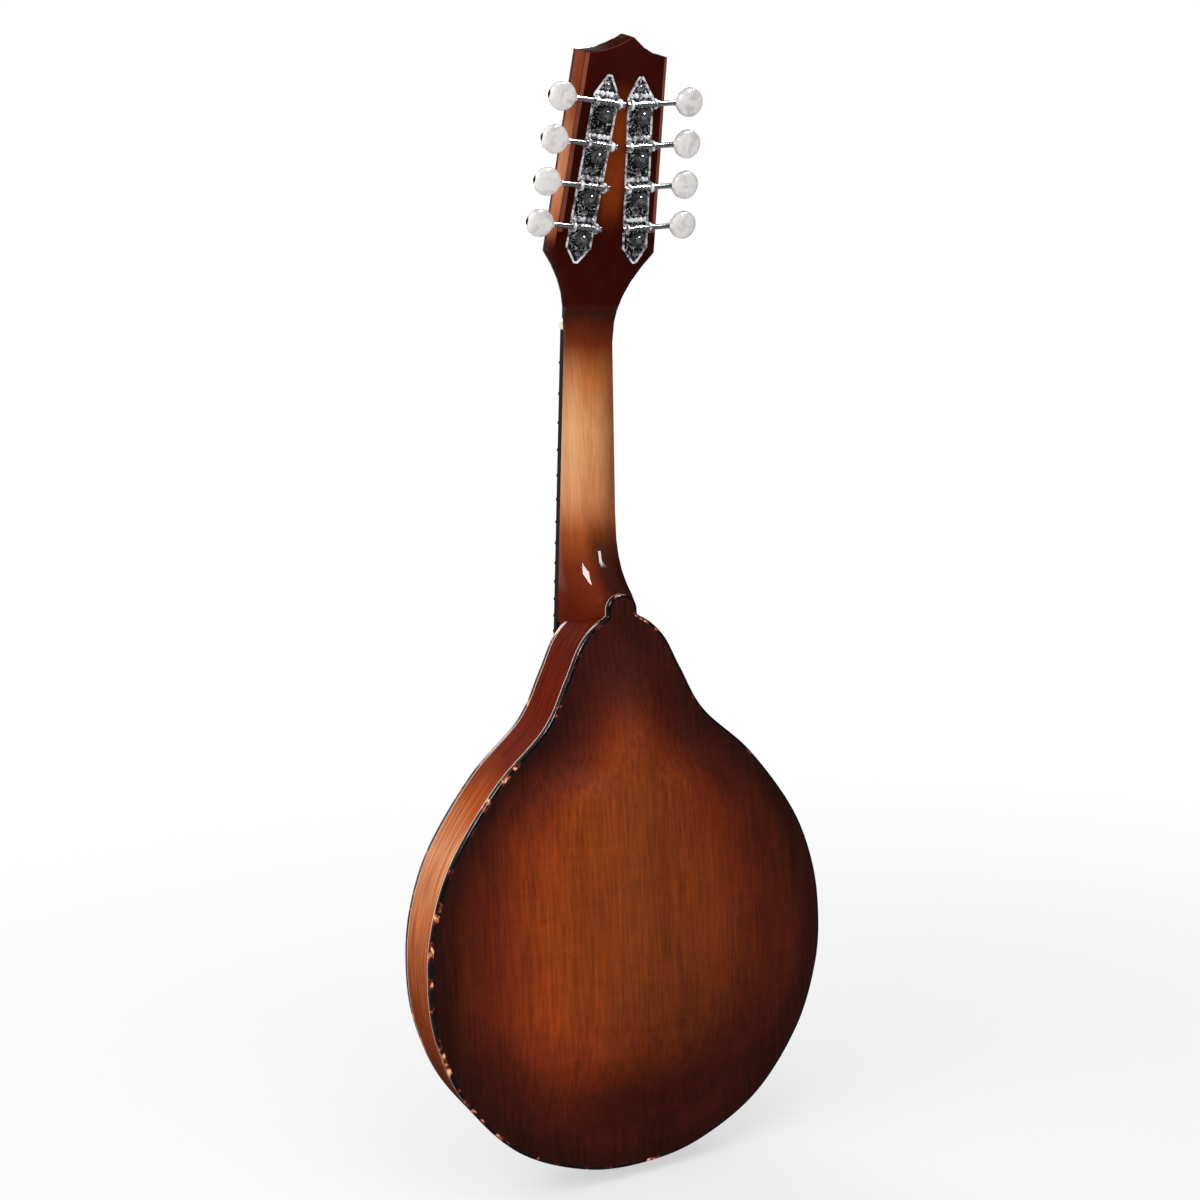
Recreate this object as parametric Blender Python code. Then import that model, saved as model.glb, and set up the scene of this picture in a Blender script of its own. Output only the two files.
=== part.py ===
"""A-style mandolin with carved plates, f-holes, an adjustable bridge and geared tuners.

The instrument stands upright: +Z runs up the neck, the soundboard faces -Y and the back
faces +Y. The origin is the middle of the end pin's outer face. Seen from the front, the
bass strings are at -X and the treble strings at +X. All sizes are in metres.
"""

import math

import bmesh
import bpy
from mathutils import Matrix, Vector

for old in list(bpy.data.objects):
    bpy.data.objects.remove(old, do_unlink=True)


# Sizes that hold for the whole instrument
CLEARANCE = 0.0003
ROUND_SIDES = 8

# Body
BODY_LENGTH = 0.341
BODY_WIDTH = 0.264
BODY_DEPTH = 0.0432
RIB_WALL = 0.0025
BINDING_WIDTH = 0.002
PLATE_EDGE = 0.0045
PLATE_THICKNESS = 0.004
TOP_ARCH = 0.016
BACK_ARCH = 0.014
FLAT_RIM = 0.010
SPINE_SHARES = (0.32, 0.69)
RING_SHARES = (0.0, 0.11, 0.28, 0.52, 0.82)
HEEL_TAB_WIDTH = 0.019
HEEL_TAB_LENGTH = 0.012
HEEL_TAB_SHOULDER = 0.0015
LINING_WIDTH = 0.005
LINING_HEIGHT = 0.008
LINING_FOOT = 0.4
NECK_BLOCK_LENGTH = 0.036
TAIL_BLOCK_LENGTH = 0.020
TAIL_BLOCK_WIDTH = 0.050
TONE_BAR_LENGTH = 0.180
TONE_BAR_WIDTH = 0.006
TONE_BAR_HEIGHT = 0.010
TONE_BAR_SPACING = 0.056
TONE_BAR_SPLAY = math.radians(4)
TONE_BAR_STATIONS = 9

# Half outline of the body from the tail to the heel: share of half width, share of length
OUTLINE_STATIONS = (
    (0.0, 0.0), (0.3, 0.016), (0.62, 0.078), (0.86, 0.187), (0.977, 0.305), (1.0, 0.41),
    (0.965, 0.51), (0.86, 0.612), (0.64, 0.728), (0.4, 0.815), (0.285, 0.895),
    (0.205, 0.955), (0.105, 0.991), (0.0, 1.0),
)
STEPS_PER_STATION = 2

# Sound holes, one on each side: eyes and bends of the f along and across its axis
F_HOLE_CENTRE = (0.066, 0.158)
F_HOLE_TILT = math.radians(16)
F_HOLE_SPINE = (
    (0.033, -0.0075), (0.0405, -0.0035), (0.032, 0.002), (0.0, 0.0),
    (-0.032, -0.002), (-0.0405, 0.0035), (-0.033, 0.0075),
)
F_HOLE_HALF_WIDTHS = (0.0009, 0.003)
F_HOLE_EYES = (0.0036, 0.0042)

# Neck, from the nut towards the body
SCALE_LENGTH = 0.348
NECK_LENGTH = 0.1695
NECK_ANGLE = math.radians(5.7)
NUT_SET_BACK = 0.0041
FINGERBOARD_THICKNESS = 0.005
FINGERBOARD_LENGTH = 0.246
NUT_WIDTH = 0.030
TWELFTH_FRET_WIDTH = 0.039
NECK_DEPTH = 0.0155
NECK_DEPTH_GROWTH = 0.012
HEEL_RISE_LENGTH = 0.042
HEEL_RISE_POWER = 2.6
HEEL_FULLNESS = 1.26
HEEL_DROP = 0.0015
RISER_SET_IN = 0.0012
TENON_DEPTH = 0.027
TENON_LENGTH = 0.014
TENON_WIDTHS = (0.012, 0.016)
FRET_COUNT = 20
FRET_HEIGHT = 0.0011
FRET_WIDTH = 0.0020
NUT_THICKNESS = 0.0045
NUT_HEIGHT = 0.0023
STRING_OVER_NUT = 0.0015
STRING_OVER_TWELFTH_FRET = 0.0019
TRUSS_ROD_RADIUS = 0.0022
TRUSS_ROD_LENGTH = 0.150
TRUSS_NUT_RADIUS = 0.0034
TRUSS_POCKET = (0.0095, 0.024)
TRUSS_POCKET_START = 0.0018
TRUSS_NUT_LENGTH = 0.0048
TRUSS_CHANNEL_WIDTH = 0.0056
TRUSS_COVER_THICKNESS = 0.0016

# Headstock, along its own face from the nut
HEAD_ANGLE = math.radians(14)
HEAD_THICKNESS = 0.0143
HEAD_OVERLAY = 0.0020
HEAD_FLARE_LENGTH = 0.0445
HEAD_FLARE_SHARES = (0.2, 0.4, 0.6, 0.8, 1.0)
HEAD_FLARE_SHEAR = 0.0030
HEAD_FLARE_THINNED = 0.8
HEAD_ROOT_WIDTH = 0.0318
HEAD_LOW_WIDTH = 0.0654
HEAD_TOP_WIDTH = 0.0512
HEAD_LENGTH = 0.1533
HEAD_CROWN_RISE = 0.0095
HEAD_CROWN_OFFSET = -0.0028
HEAD_CROWN_POWER = 2.1
OVERLAY_START = 0.0012

# Tuners: four on each plate, each a worm on a key shaft that turns a gear on a post
TUNERS_PER_SIDE = 4
TUNER_SPACING = 0.023
TUNER_START = 0.0596
TUNER_LINE_HALF = 0.0170
TUNER_LINE_LEAN = math.radians(5.1)
TUNER_PLATE_WIDTH = 0.0157
TUNER_PLATE_THICKNESS = 0.0011
TUNER_PLATE_ENDS = (0.0214, 0.0143)
TUNER_PLATE_TIP = 0.0012
TUNER_PLATE_POINTS = (0.009, 0.011)
KEY_SHAFT_RADIUS = 0.00145
KEY_SHAFT_OVERHANG = 0.0024
KEY_AXIS_HEIGHT = 0.0045
EAR_THICKNESS = 0.0014
EAR_HALF_LENGTH = 0.0030
EAR_RISE = 0.0026
EAR_BORE_GAP = 0.00065
WORM_CREST_RADIUS = 0.00225
WORM_TURNS = 3
WORM_SIDES = 6
GEAR_TEETH = 13
GEAR_OFFSET = 0.0064
GEAR_TIP_RADIUS = 0.0046
GEAR_ROOT_RADIUS = 0.0037
GEAR_THICKNESS = 0.0030
TOOTH_TIP = 0.15
GEAR_SCREW_RADIUS = 0.0021
GEAR_SCREW_HEIGHT = 0.0010
POST_RADIUS = 0.0030
POST_BORE_GAP = 0.0006
POST_HEIGHT = 0.0135
POST_WAIST = 0.8
POST_WAIST_START = 0.0058
FERRULE_RADIUS = 0.0048
FERRULE_HEIGHT = 0.0014
BUTTON_RADIUS = 0.0079
BUTTON_HALF_THICKNESS = 0.0035
BUTTON_REACH = 0.0285
BUTTON_NECK = 0.0008
SHAFT_END_IN_BUTTON = 0.35
BUTTON_COLLAR = 0.0026

# Bridge
BRIDGE_BASE_LENGTH = 0.108
BRIDGE_BASE_THICKNESS = 0.010
BRIDGE_FOOT_LENGTH = 0.032
BRIDGE_ARCH_LIFT = 0.0022
BRIDGE_END_HEIGHT = 0.0025
BRIDGE_END_THINNING = 0.45
SADDLE_LENGTH = 0.094
SADDLE_HEIGHT = 0.0085
SADDLE_THICKNESS = (0.0060, 0.0026)
SADDLE_TRAVEL = 0.0014
SADDLE_SLOT = 0.0008
STUD_SPACING = 0.072
STUD_RADIUS = 0.0020
STUD_IN_SADDLE = 0.0040
STUD_IN_BASE = 0.0030
THUMBWHEEL_RADIUS = 0.0058
THUMBWHEEL_THICKNESS = 0.0026
THUMBWHEEL_SIDES = 16

# Tailpiece and end pin
PIN_LENGTH = 0.008
PIN_HEAD_RADIUS = 0.0065
PIN_NECK_RADIUS = 0.0040
PIN_SHANK_RADIUS = 0.0032
PIN_SHANK_LENGTH = 0.020
TAIL_PLATE_THICKNESS = 0.0010
TAIL_PLATE_WIDTH = 0.038
TAIL_LEG_LENGTH = 0.030
TAIL_PLATE_RISE = 0.074
TAIL_PLATE_LIFT = 0.0180
TAIL_PLATE_FRONT = 0.0032
HOOK_RADIUS = 0.0009
HOOK_HEIGHT = 0.0022
HOOK_SPACING = 0.0042
HOOK_SET_BACK = 0.010
COVER_WALL = 0.0010
COVER_HEIGHT = 0.0085

# Strings: one pair for each of G, D, A and E, from the bass side
STRING_COURSES = (("g", 0.00100), ("d", 0.00066), ("a", 0.00040), ("e", 0.00030))
COURSE_SPACING_NUT = 0.00727
COURSE_SPACING_BRIDGE = 0.0123
PAIR_SPACING_NUT = 0.0022
PAIR_SPACING_BRIDGE = 0.0025
COIL_TURNS = 1.75
COIL_STEPS = 8
COIL_GAP = 0.00045
COIL_START_HEIGHT = 0.0085


# Places worked out from the sizes
BODY_TAIL = PIN_LENGTH
BODY_TOP = BODY_TAIL + BODY_LENGTH
HALF_DEPTH = BODY_DEPTH / 2
SPINE_LOW, SPINE_HIGH = (BODY_TAIL + share * BODY_LENGTH for share in SPINE_SHARES)
NUT_Z = BODY_TOP + NECK_LENGTH * math.cos(NECK_ANGLE)
NUT_Y = -HALF_DEPTH + NUT_SET_BACK
NECK_SEAT = FINGERBOARD_THICKNESS + CLEARANCE
HEAD_START = NUT_THICKNESS + 2 * CLEARANCE
NECK_FRAME = Matrix.Translation((0, NUT_Y, NUT_Z)) @ Matrix.Rotation(-NECK_ANGLE, 4, "X")
HEAD_FRAME = (
    NECK_FRAME
    @ Matrix.Translation((0, NECK_SEAT, HEAD_START))
    @ Matrix.Rotation(-HEAD_ANGLE, 4, "X")
)
OVERLAY_FACE = -(CLEARANCE + HEAD_OVERLAY)
POST_BORE = POST_RADIUS + POST_BORE_GAP
EAR_BORE = KEY_SHAFT_RADIUS + EAR_BORE_GAP


def finish(name, colour, roughness, metallic=0.0):
    """A Principled material of one colour."""
    material = bpy.data.materials.new(name)
    material.use_nodes = True
    shader = material.node_tree.nodes["Principled BSDF"]
    shader.inputs["Base Color"].default_value = (*colour, 1.0)
    shader.inputs["Roughness"].default_value = roughness
    shader.inputs["Metallic"].default_value = metallic
    material.diffuse_color = (*colour, 1.0)
    return material


BACK_FINISH = finish("back_sunburst", (0.16, 0.045, 0.018), 0.35)
RIB_FINISH = finish("rib_mahogany", (0.24, 0.07, 0.03), 0.35)
TOP_FINISH = finish("spruce_sunburst", (0.36, 0.13, 0.04), 0.35)
NECK_FINISH = finish("neck_mahogany", (0.42, 0.2, 0.1), 0.35)
BINDING_FINISH = finish("tortoiseshell_binding", (0.03, 0.015, 0.01), 0.2)
INNER_WOOD = finish("inner_spruce", (0.6, 0.45, 0.28), 0.7)
EBONY = finish("black_board", (0.02, 0.017, 0.015), 0.4)
ROSEWOOD = finish("rosewood", (0.07, 0.035, 0.02), 0.5)
BONE = finish("bone", (0.8, 0.77, 0.7), 0.4)
CHROME = finish("chrome", (0.75, 0.75, 0.76), 0.12, 1.0)
STEEL = finish("steel", (0.55, 0.55, 0.56), 0.3, 1.0)
BRASS = finish("brass", (0.7, 0.5, 0.2), 0.3, 1.0)
BRONZE = finish("phosphor_bronze", (0.6, 0.33, 0.14), 0.35, 1.0)
PEARL = finish("pearl_button", (0.75, 0.72, 0.7), 0.3)
BLACK_PLASTIC = finish("black_plastic", (0.02, 0.02, 0.02), 0.35)


def frame_empty(name, matrix, parent=None):
    """An empty that carries the pieces built in its frame."""
    empty = bpy.data.objects.new(name, None)
    bpy.context.collection.objects.link(empty)
    empty.parent = parent
    empty.matrix_local = matrix
    return empty


def shared_mesh(bm, name, sharp_angle=35):
    """A mesh that several alike pieces use."""
    bmesh.ops.recalc_face_normals(bm, faces=bm.faces)
    mesh = bpy.data.meshes.new(name)
    bm.to_mesh(mesh)
    bm.free()
    mesh.shade_smooth()
    mesh.set_sharp_from_angle(angle=math.radians(sharp_angle))
    return mesh


def node(name, bm, material, parent=None, place=(0, 0, 0)):
    """One closed piece, with its faces turned outwards."""
    return node_from_mesh(name, shared_mesh(bm, name), material, parent, place)


def node_from_mesh(name, mesh, material, parent=None, place=(0, 0, 0)):
    """An object for a mesh, which several pieces may share."""
    if not mesh.materials:
        mesh.materials.append(material)
    piece = bpy.data.objects.new(name, mesh)
    piece.parent = parent
    piece.location = place
    bpy.context.collection.objects.link(piece)
    return piece


def guide(name, bm, parent=None, place=(0, 0, 0)):
    """A shape that only cuts or joins another one."""
    piece = node(name, bm, STEEL, parent, place)
    piece.hide_render = True
    piece.display_type = "WIRE"
    return piece


def combine(piece, other, operation):
    """Cut the other shape out of the piece, or join it on."""
    change = piece.modifiers.new(f"{operation.lower()}_{other.name}", "BOOLEAN")
    change.operation = operation
    change.solver = "EXACT"
    change.object = other


def loft(bm, sections, closed=False):
    """Skin sections of equal point counts, with end caps or closed into a ring."""
    rows = [[bm.verts.new(point) for point in section] for section in sections]
    count = len(rows[0])
    pairs = list(zip(rows, rows[1:]))
    if closed:
        pairs.append((rows[-1], rows[0]))
    for low, high in pairs:
        for i in range(count):
            j = (i + 1) % count
            bm.faces.new((low[i], low[j], high[j], high[i]))
    if not closed:
        bm.faces.new(rows[0])
        bm.faces.new(rows[-1])
    return rows


def prism(bm, outline, low, high, place):
    """A straight prism: place(u, v, height) puts each point of the outline."""
    sections = [[place(u, v, height) for u, v in outline] for height in (low, high)]
    return loft(bm, sections)


def along_y(u, v, height):
    return Vector((u, height, v))


def along_z(u, v, height):
    return Vector((u, v, height))


def along_x(u, v, height):
    return Vector((height, u, v))


def circle(radius, sides, centre=(0.0, 0.0), start=0.0):
    angles = [start + 2 * math.pi * i / sides for i in range(sides)]
    return [(centre[0] + radius * math.cos(a), centre[1] + radius * math.sin(a)) for a in angles]


def turned(bm, profile, sides, place):
    """A turned piece: the profile gives its radius at each height."""
    sections = [[place(u, v, height) for u, v in circle(radius, sides)] for radius, height in profile]
    return loft(bm, sections)


def blend(a, b, share):
    return a + (b - a) * share


def eased(p, q, r, s, t):
    """Value between q and r of a smooth curve through four values."""
    return 0.5 * (2 * q + (r - p) * t + (2 * p - 5 * q + 4 * r - s) * t**2 + (3 * q - p - 3 * r + s) * t**3)


def smooth_run(run, steps):
    """Points of a smooth curve from the second station to the last but one."""
    points = []
    for four in zip(run, run[1:], run[2:], run[3:]):
        for step in range(steps):
            points.append(tuple(eased(*values, step / steps) for values in zip(*four)))
    points.append(run[-2])
    return points


def smooth_half(stations, steps):
    """Half an outline through stations, whose two ends lie on the mirror line."""
    first, last = stations[1], stations[-2]
    return smooth_run([(-first[0], first[1]), *stations, (-last[0], last[1])], steps)


def inset_ring(points, inset):
    """Move each side of an anticlockwise outline inwards by the inset."""
    moved = []
    for before, here, after in zip(points[-1:] + points[:-1], points, points[1:] + points[:1]):
        sides = []
        for start, end in ((before, here), (here, after)):
            run = Vector((end[0] - start[0], end[1] - start[1])).normalized()
            sides.append(Vector((-run.y, run.x)))
        middle = (sides[0] + sides[1]).normalized()
        shift = middle * (inset / middle.dot(sides[0]))
        moved.append((here[0] + shift.x, here[1] + shift.y))
    return moved


HALF_OUTLINE = smooth_half(
    [(x * BODY_WIDTH / 2, BODY_TAIL + z * BODY_LENGTH) for x, z in OUTLINE_STATIONS],
    STEPS_PER_STATION,
)


def whole(half):
    """Mirror a half outline that runs from the tail to the top."""
    return half + [(-x, z) for x, z in reversed(half[1:-1])]


def outline_height(x):
    """Height of the body's upper edge at a distance from the middle."""
    upper = [point for point in HALF_OUTLINE if point[1] > SPINE_HIGH]
    for (x0, z0), (x1, z1) in zip(upper, upper[1:]):
        if x1 <= abs(x) <= x0:
            return blend(z1, z0, (abs(x) - x1) / (x0 - x1))
    return upper[0][1]


def tabbed_half_outline():
    """Half outline of the back, which carries a round tab over the neck's heel."""
    half_tab = HEEL_TAB_WIDTH / 2
    shoulder = half_tab + HEEL_TAB_SHOULDER
    half = [point for point in HALF_OUTLINE if point[1] < SPINE_HIGH or point[0] > shoulder]
    tip = BODY_TOP + HEEL_TAB_LENGTH
    half.append((half_tab, outline_height(half_tab)))
    for angle in (0, 30, 60):
        turn = math.radians(angle)
        half.append((half_tab * math.cos(turn), tip - half_tab + half_tab * math.sin(turn)))
    half.append((0.0, tip))
    return half


BODY_OUTLINE = whole(HALF_OUTLINE)
BACK_OUTLINE = whole(tabbed_half_outline())


def edge_reach(centre_z, dx, dz):
    """Distance from a point on the middle line to the body's edge along a direction."""
    reach = 0.0
    for (x0, z0), (x1, z1) in zip(BODY_OUTLINE, BODY_OUTLINE[1:] + BODY_OUTLINE[:1]):
        ex, ez = x1 - x0, z1 - z0
        across = dx * ez - dz * ex
        if abs(across) < 1e-12:
            continue
        px, pz = x0, z0 - centre_z
        along = (px * ez - pz * ex) / across
        share = (px * dz - pz * dx) / across
        if along > 0 and -1e-9 <= share <= 1 + 1e-9:
            reach = max(reach, along)
    return reach


def arch_share(x, z):
    """How far the carved arch has risen at a place: 0 on the flat rim and 1 along the middle."""
    centre_z = min(max(z, SPINE_LOW), SPINE_HIGH)
    radius = math.hypot(x, z - centre_z)
    if radius < 1e-6:
        return 1.0
    run = edge_reach(centre_z, x / radius, (z - centre_z) / radius) - FLAT_RIM
    share = min(max((run - radius) / run, 0.0), 1.0)
    return math.sin(share * math.pi / 2) ** 2


def top_surface(x, z):
    """World Y of the soundboard's outer surface."""
    return -(HALF_DEPTH + TOP_ARCH * arch_share(x, z))


def top_underside(x, z):
    """World Y of the soundboard's inner surface."""
    rise = TOP_ARCH - PLATE_THICKNESS + PLATE_EDGE
    return -(HALF_DEPTH - PLATE_EDGE + rise * arch_share(x, z))


def carved_plate(name, outline, side, arch, material):
    """A plate with a flat rim and a carved arch, hollow on its inner face."""
    edge = inset_ring(outline, BINDING_WIDTH + CLEARANCE)
    bm = bmesh.new()
    faces = []
    for thick in (False, True):
        rows = []
        for share in RING_SHARES:
            row = []
            for x, z in edge:
                centre_z = min(max(z, SPINE_LOW), SPINE_HIGH)
                px, pz = blend(x, 0.0, share), blend(z, centre_z, share)
                rise = arch_share(px, pz)
                height = arch * rise
                if thick:
                    height = -PLATE_EDGE + (arch - PLATE_THICKNESS + PLATE_EDGE) * rise
                row.append(bm.verts.new((px, side * (HALF_DEPTH + height), pz)))
            rows.append(row)
        faces.append(rows)
        count = len(edge)
        for outer, inner in zip(rows, rows[1:]):
            for i in range(count):
                j = (i + 1) % count
                bm.faces.new((outer[i], outer[j], inner[j], inner[i]))
        last = rows[-1]
        bm.faces.new((last[0], last[1], last[-1]))
        for i in range(1, count // 2 - 1):
            bm.faces.new((last[i], last[i + 1], last[-i - 1], last[-i]))
        middle = count // 2
        bm.faces.new((last[middle - 1], last[middle], last[middle + 1]))
    for i in range(count):
        j = (i + 1) % count
        bm.faces.new((faces[0][0][i], faces[0][0][j], faces[1][0][j], faces[1][0][i]))
    return node(name, bm, material)


def hoop(name, outer, inner, low, high, material):
    """A closed band between two outlines, from one depth to another."""
    bm = bmesh.new()
    sections = [
        [(ox, low, oz), (ox, high, oz), (ix, high, iz), (ix, low, iz)]
        for (ox, oz), (ix, iz) in zip(outer, inner)
    ]
    loft(bm, sections, closed=True)
    return node(name, bm, material)


# Carved soundboard and back, with the back's tab over the heel
soundboard = carved_plate("soundboard", BODY_OUTLINE, -1, TOP_ARCH, TOP_FINISH)
back_plate = carved_plate("back_plate", BACK_OUTLINE, 1, BACK_ARCH, BACK_FINISH)


def f_hole_point(side, along, across):
    """Place of a point of the f, tilted with its upper end towards the neck."""
    tilt_cos, tilt_sin = math.cos(F_HOLE_TILT), math.sin(F_HOLE_TILT)
    x = F_HOLE_CENTRE[0] + across * tilt_cos - along * tilt_sin
    z = BODY_TAIL + F_HOLE_CENTRE[1] + along * tilt_cos + across * tilt_sin
    return side * x, z


def f_hole_stem(side):
    """Outline of the f between its eyes: thin at both ends and wide at the middle."""
    spine = smooth_run([F_HOLE_SPINE[0], *F_HOLE_SPINE, F_HOLE_SPINE[-1]], 2)
    left, right = [], []
    for i, (along, across) in enumerate(spine):
        before, after = spine[max(i - 1, 0)], spine[min(i + 1, len(spine) - 1)]
        run_along, run_across = after[0] - before[0], after[1] - before[1]
        length = math.hypot(run_along, run_across)
        fullness = math.sin(math.pi * i / (len(spine) - 1)) ** 2
        half = blend(*F_HOLE_HALF_WIDTHS, fullness)
        step = (-run_across / length * half, run_along / length * half)
        left.append(f_hole_point(side, along + step[0], across + step[1]))
        right.append(f_hole_point(side, along - step[0], across - step[1]))
    return left + right[::-1]


for side, side_name in ((-1, "bass"), (1, "treble")):
    cut_depths = (-HALF_DEPTH - TOP_ARCH - 0.01, -HALF_DEPTH + PLATE_EDGE + 0.01)
    stem = bmesh.new()
    prism(stem, f_hole_stem(side), *cut_depths, along_y)
    combine(soundboard, guide(f"f_stem_cut_{side_name}", stem), "DIFFERENCE")
    for end, radius in ((0, F_HOLE_EYES[0]), (-1, F_HOLE_EYES[1])):
        eye = bmesh.new()
        centre = f_hole_point(side, *F_HOLE_SPINE[end])
        prism(eye, circle(radius, ROUND_SIDES, centre, start=0.1), *cut_depths, along_y)
        combine(soundboard, guide(f"f_eye_cut_{side_name}_{end % 2}", eye), "DIFFERENCE")

# Bent ribs and the bindings that cover both plates' edges
RIB_EDGE = HALF_DEPTH - PLATE_EDGE - CLEARANCE
ribs = hoop("ribs", BODY_OUTLINE, inset_ring(BODY_OUTLINE, RIB_WALL), -RIB_EDGE, RIB_EDGE, RIB_FINISH)
top_binding = hoop(
    "top_binding", BODY_OUTLINE, inset_ring(BODY_OUTLINE, BINDING_WIDTH),
    -HALF_DEPTH, -HALF_DEPTH + PLATE_EDGE, BINDING_FINISH,
)
back_binding = hoop(
    "back_binding", BACK_OUTLINE, inset_ring(BACK_OUTLINE, BINDING_WIDTH),
    HALF_DEPTH - PLATE_EDGE, HALF_DEPTH, BINDING_FINISH,
)

# Blocks at the heel and the tail, shaped to the inside of the ribs
INNER_RING = inset_ring(BODY_OUTLINE, RIB_WALL + CLEARANCE)
NECK_BLOCK_END = BODY_TOP - RIB_WALL - NECK_BLOCK_LENGTH
RIB_STATIONS = [point for point in INNER_RING if point[0] >= -1e-9]


def rib_inside(z):
    """Half width inside the ribs at a height in the upper body."""
    upper = [point for point in RIB_STATIONS if point[1] > SPINE_HIGH]
    for (x0, z0), (x1, z1) in zip(upper, upper[1:]):
        if z0 <= z <= z1:
            return blend(x0, x1, (z - z0) / (z1 - z0))
    return upper[0][0]


block = bmesh.new()
neck_block_half = rib_inside(NECK_BLOCK_END)
upper_ring = [point for point in INNER_RING if point[1] > NECK_BLOCK_END]
neck_block_ring = [(neck_block_half, NECK_BLOCK_END), *upper_ring, (-neck_block_half, NECK_BLOCK_END)]
prism(block, neck_block_ring, -RIB_EDGE, RIB_EDGE, along_y)
neck_block = node("neck_block", block, INNER_WOOD)

block = bmesh.new()
tail_half = TAIL_BLOCK_WIDTH / 2
inner_tail = BODY_TAIL + RIB_WALL + CLEARANCE
lower_ring = sorted(point for point in INNER_RING if point[1] < SPINE_LOW and abs(point[0]) < tail_half)


def tail_inside(x):
    """Height of the ribs' inner face near the tail."""
    lower = [point for point in RIB_STATIONS if point[1] < SPINE_LOW]
    for (x0, z0), (x1, z1) in zip(lower, lower[1:]):
        if x0 <= abs(x) <= x1:
            return blend(z0, z1, (abs(x) - x0) / (x1 - x0))
    return inner_tail


tail_corner = tail_inside(tail_half)
tail_top = inner_tail + TAIL_BLOCK_LENGTH
tail_block_ring = [
    (-tail_half, tail_corner), *lower_ring, (tail_half, tail_corner),
    (tail_half, tail_top), (-tail_half, tail_top),
]
prism(block, tail_block_ring, -RIB_EDGE, RIB_EDGE, along_y)
tail_block = node("tail_block", block, INNER_WOOD)

# Linings, which glue the plates to the ribs from one block to the other
LINING_RING = inset_ring(BODY_OUTLINE, RIB_WALL + CLEARANCE + LINING_WIDTH)
count = len(BODY_OUTLINE)
for side, side_name in ((-1, "bass"), (1, "treble")):
    stations = []
    for i in range(count // 2 + 1):
        k = i if side > 0 else -i % count
        outer, inner = INNER_RING[k], LINING_RING[k]
        clear_of_tail = abs(inner[0]) > tail_half + CLEARANCE or outer[1] > SPINE_LOW
        clear_of_neck = outer[1] < NECK_BLOCK_END - CLEARANCE
        if clear_of_tail and clear_of_neck:
            stations.append((outer, inner))
    for plate_side, plate_name in ((-1, "top"), (1, "back")):
        edge, foot = RIB_EDGE, RIB_EDGE - LINING_HEIGHT
        sections = [
            [
                (ox, plate_side * edge, oz), (ix, plate_side * edge, iz),
                (ix, plate_side * (edge - LINING_HEIGHT * LINING_FOOT), iz), (ox, plate_side * foot, oz),
            ]
            for (ox, oz), (ix, iz) in stations
        ]
        bm = bmesh.new()
        loft(bm, sections)
        node(f"{plate_name}_lining_{side_name}", bm, INNER_WOOD)

# Two tone bars under the soundboard, splayed towards the tail
for side, side_name in ((-1, "bass"), (1, "treble")):
    bm = bmesh.new()
    sections = []
    for i in range(TONE_BAR_STATIONS):
        share = i / (TONE_BAR_STATIONS - 1)
        along = (share - 0.5) * TONE_BAR_LENGTH
        z = blend(SPINE_LOW, SPINE_HIGH, 0.5) + along
        middle = side * (TONE_BAR_SPACING / 2 - along * math.tan(TONE_BAR_SPLAY))
        depth = TONE_BAR_HEIGHT * (1 - 0.6 * abs(2 * share - 1) ** 3)
        corners = (middle - TONE_BAR_WIDTH / 2, middle + TONE_BAR_WIDTH / 2)
        seat = max(top_underside(x, z) for x in corners) + 3 * CLEARANCE
        sections.append([
            (corners[0], seat, z), (corners[1], seat, z),
            (corners[1], seat + depth, z), (corners[0], seat + depth, z),
        ])
    loft(bm, sections)
    node(f"tone_bar_{side_name}", bm, INNER_WOOD)


# Neck with its heel, headstock and dovetail tenon
neck_frame = frame_empty("neck_frame", NECK_FRAME)
head_frame = frame_empty("head_frame", NECK_FRAME.inverted() @ HEAD_FRAME, neck_frame)

SECTION_STEPS = 12
HEAD_SECTION = (
    (1.0, 0.0), (1.0, 0.84), (0.97, 0.97), (0.88, 1.0), (0.6, 1.0), (0.3, 1.0), (0.0, 1.0),
)
BOARD_TAPER = (TWELFTH_FRET_WIDTH - NUT_WIDTH) / (SCALE_LENGTH / 2)


def board_half(distance):
    """Half width of the fingerboard at a distance from the nut."""
    return (NUT_WIDTH + BOARD_TAPER * distance) / 2


def section_shares(squareness):
    """Outline of the neck's back, from a round section to the headstock's square one."""
    square = list(HEAD_SECTION) + [(-u, v) for u, v in reversed(HEAD_SECTION[:-1])]
    shares = []
    for i, (u, v) in enumerate(square):
        turn = math.pi * i / SECTION_STEPS
        shares.append((blend(math.cos(turn), u, squareness), blend(math.sin(turn), v, squareness)))
    return shares


def neck_section(half, back_depths, place, squareness=0.0):
    """One section: the round or square back, then the flat face behind the fingerboard."""
    shares = section_shares(squareness)
    back = [place(half * u, back_depths[i] if isinstance(back_depths, list) else back_depths * v)
            for i, (u, v) in enumerate(shares)]
    face = [place(half * u, 0.0) for u, v in shares[2:-2]]
    return back + face[::-1]


def world_to_neck_depth(y, z_local):
    """Depth behind the fingerboard's seat where the neck meets a plane of constant world Y."""
    rest = y - NUT_Y - z_local * math.sin(NECK_ANGLE)
    return rest / math.cos(NECK_ANGLE) - NECK_SEAT


HEEL_CAP_Y = HALF_DEPTH - PLATE_EDGE - CLEARANCE
HEEL_TIP = BODY_TOP + HEEL_TAB_LENGTH
heel_front_half = board_half(NECK_LENGTH)
heel_lowest = outline_height(heel_front_half) - HEEL_DROP


def neck_z(world_y, world_z):
    """Distance along the neck, positive above the nut, of a point in the middle plane."""
    return (world_y - NUT_Y) * math.sin(NECK_ANGLE) + (world_z - NUT_Z) * math.cos(NECK_ANGLE)


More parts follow.
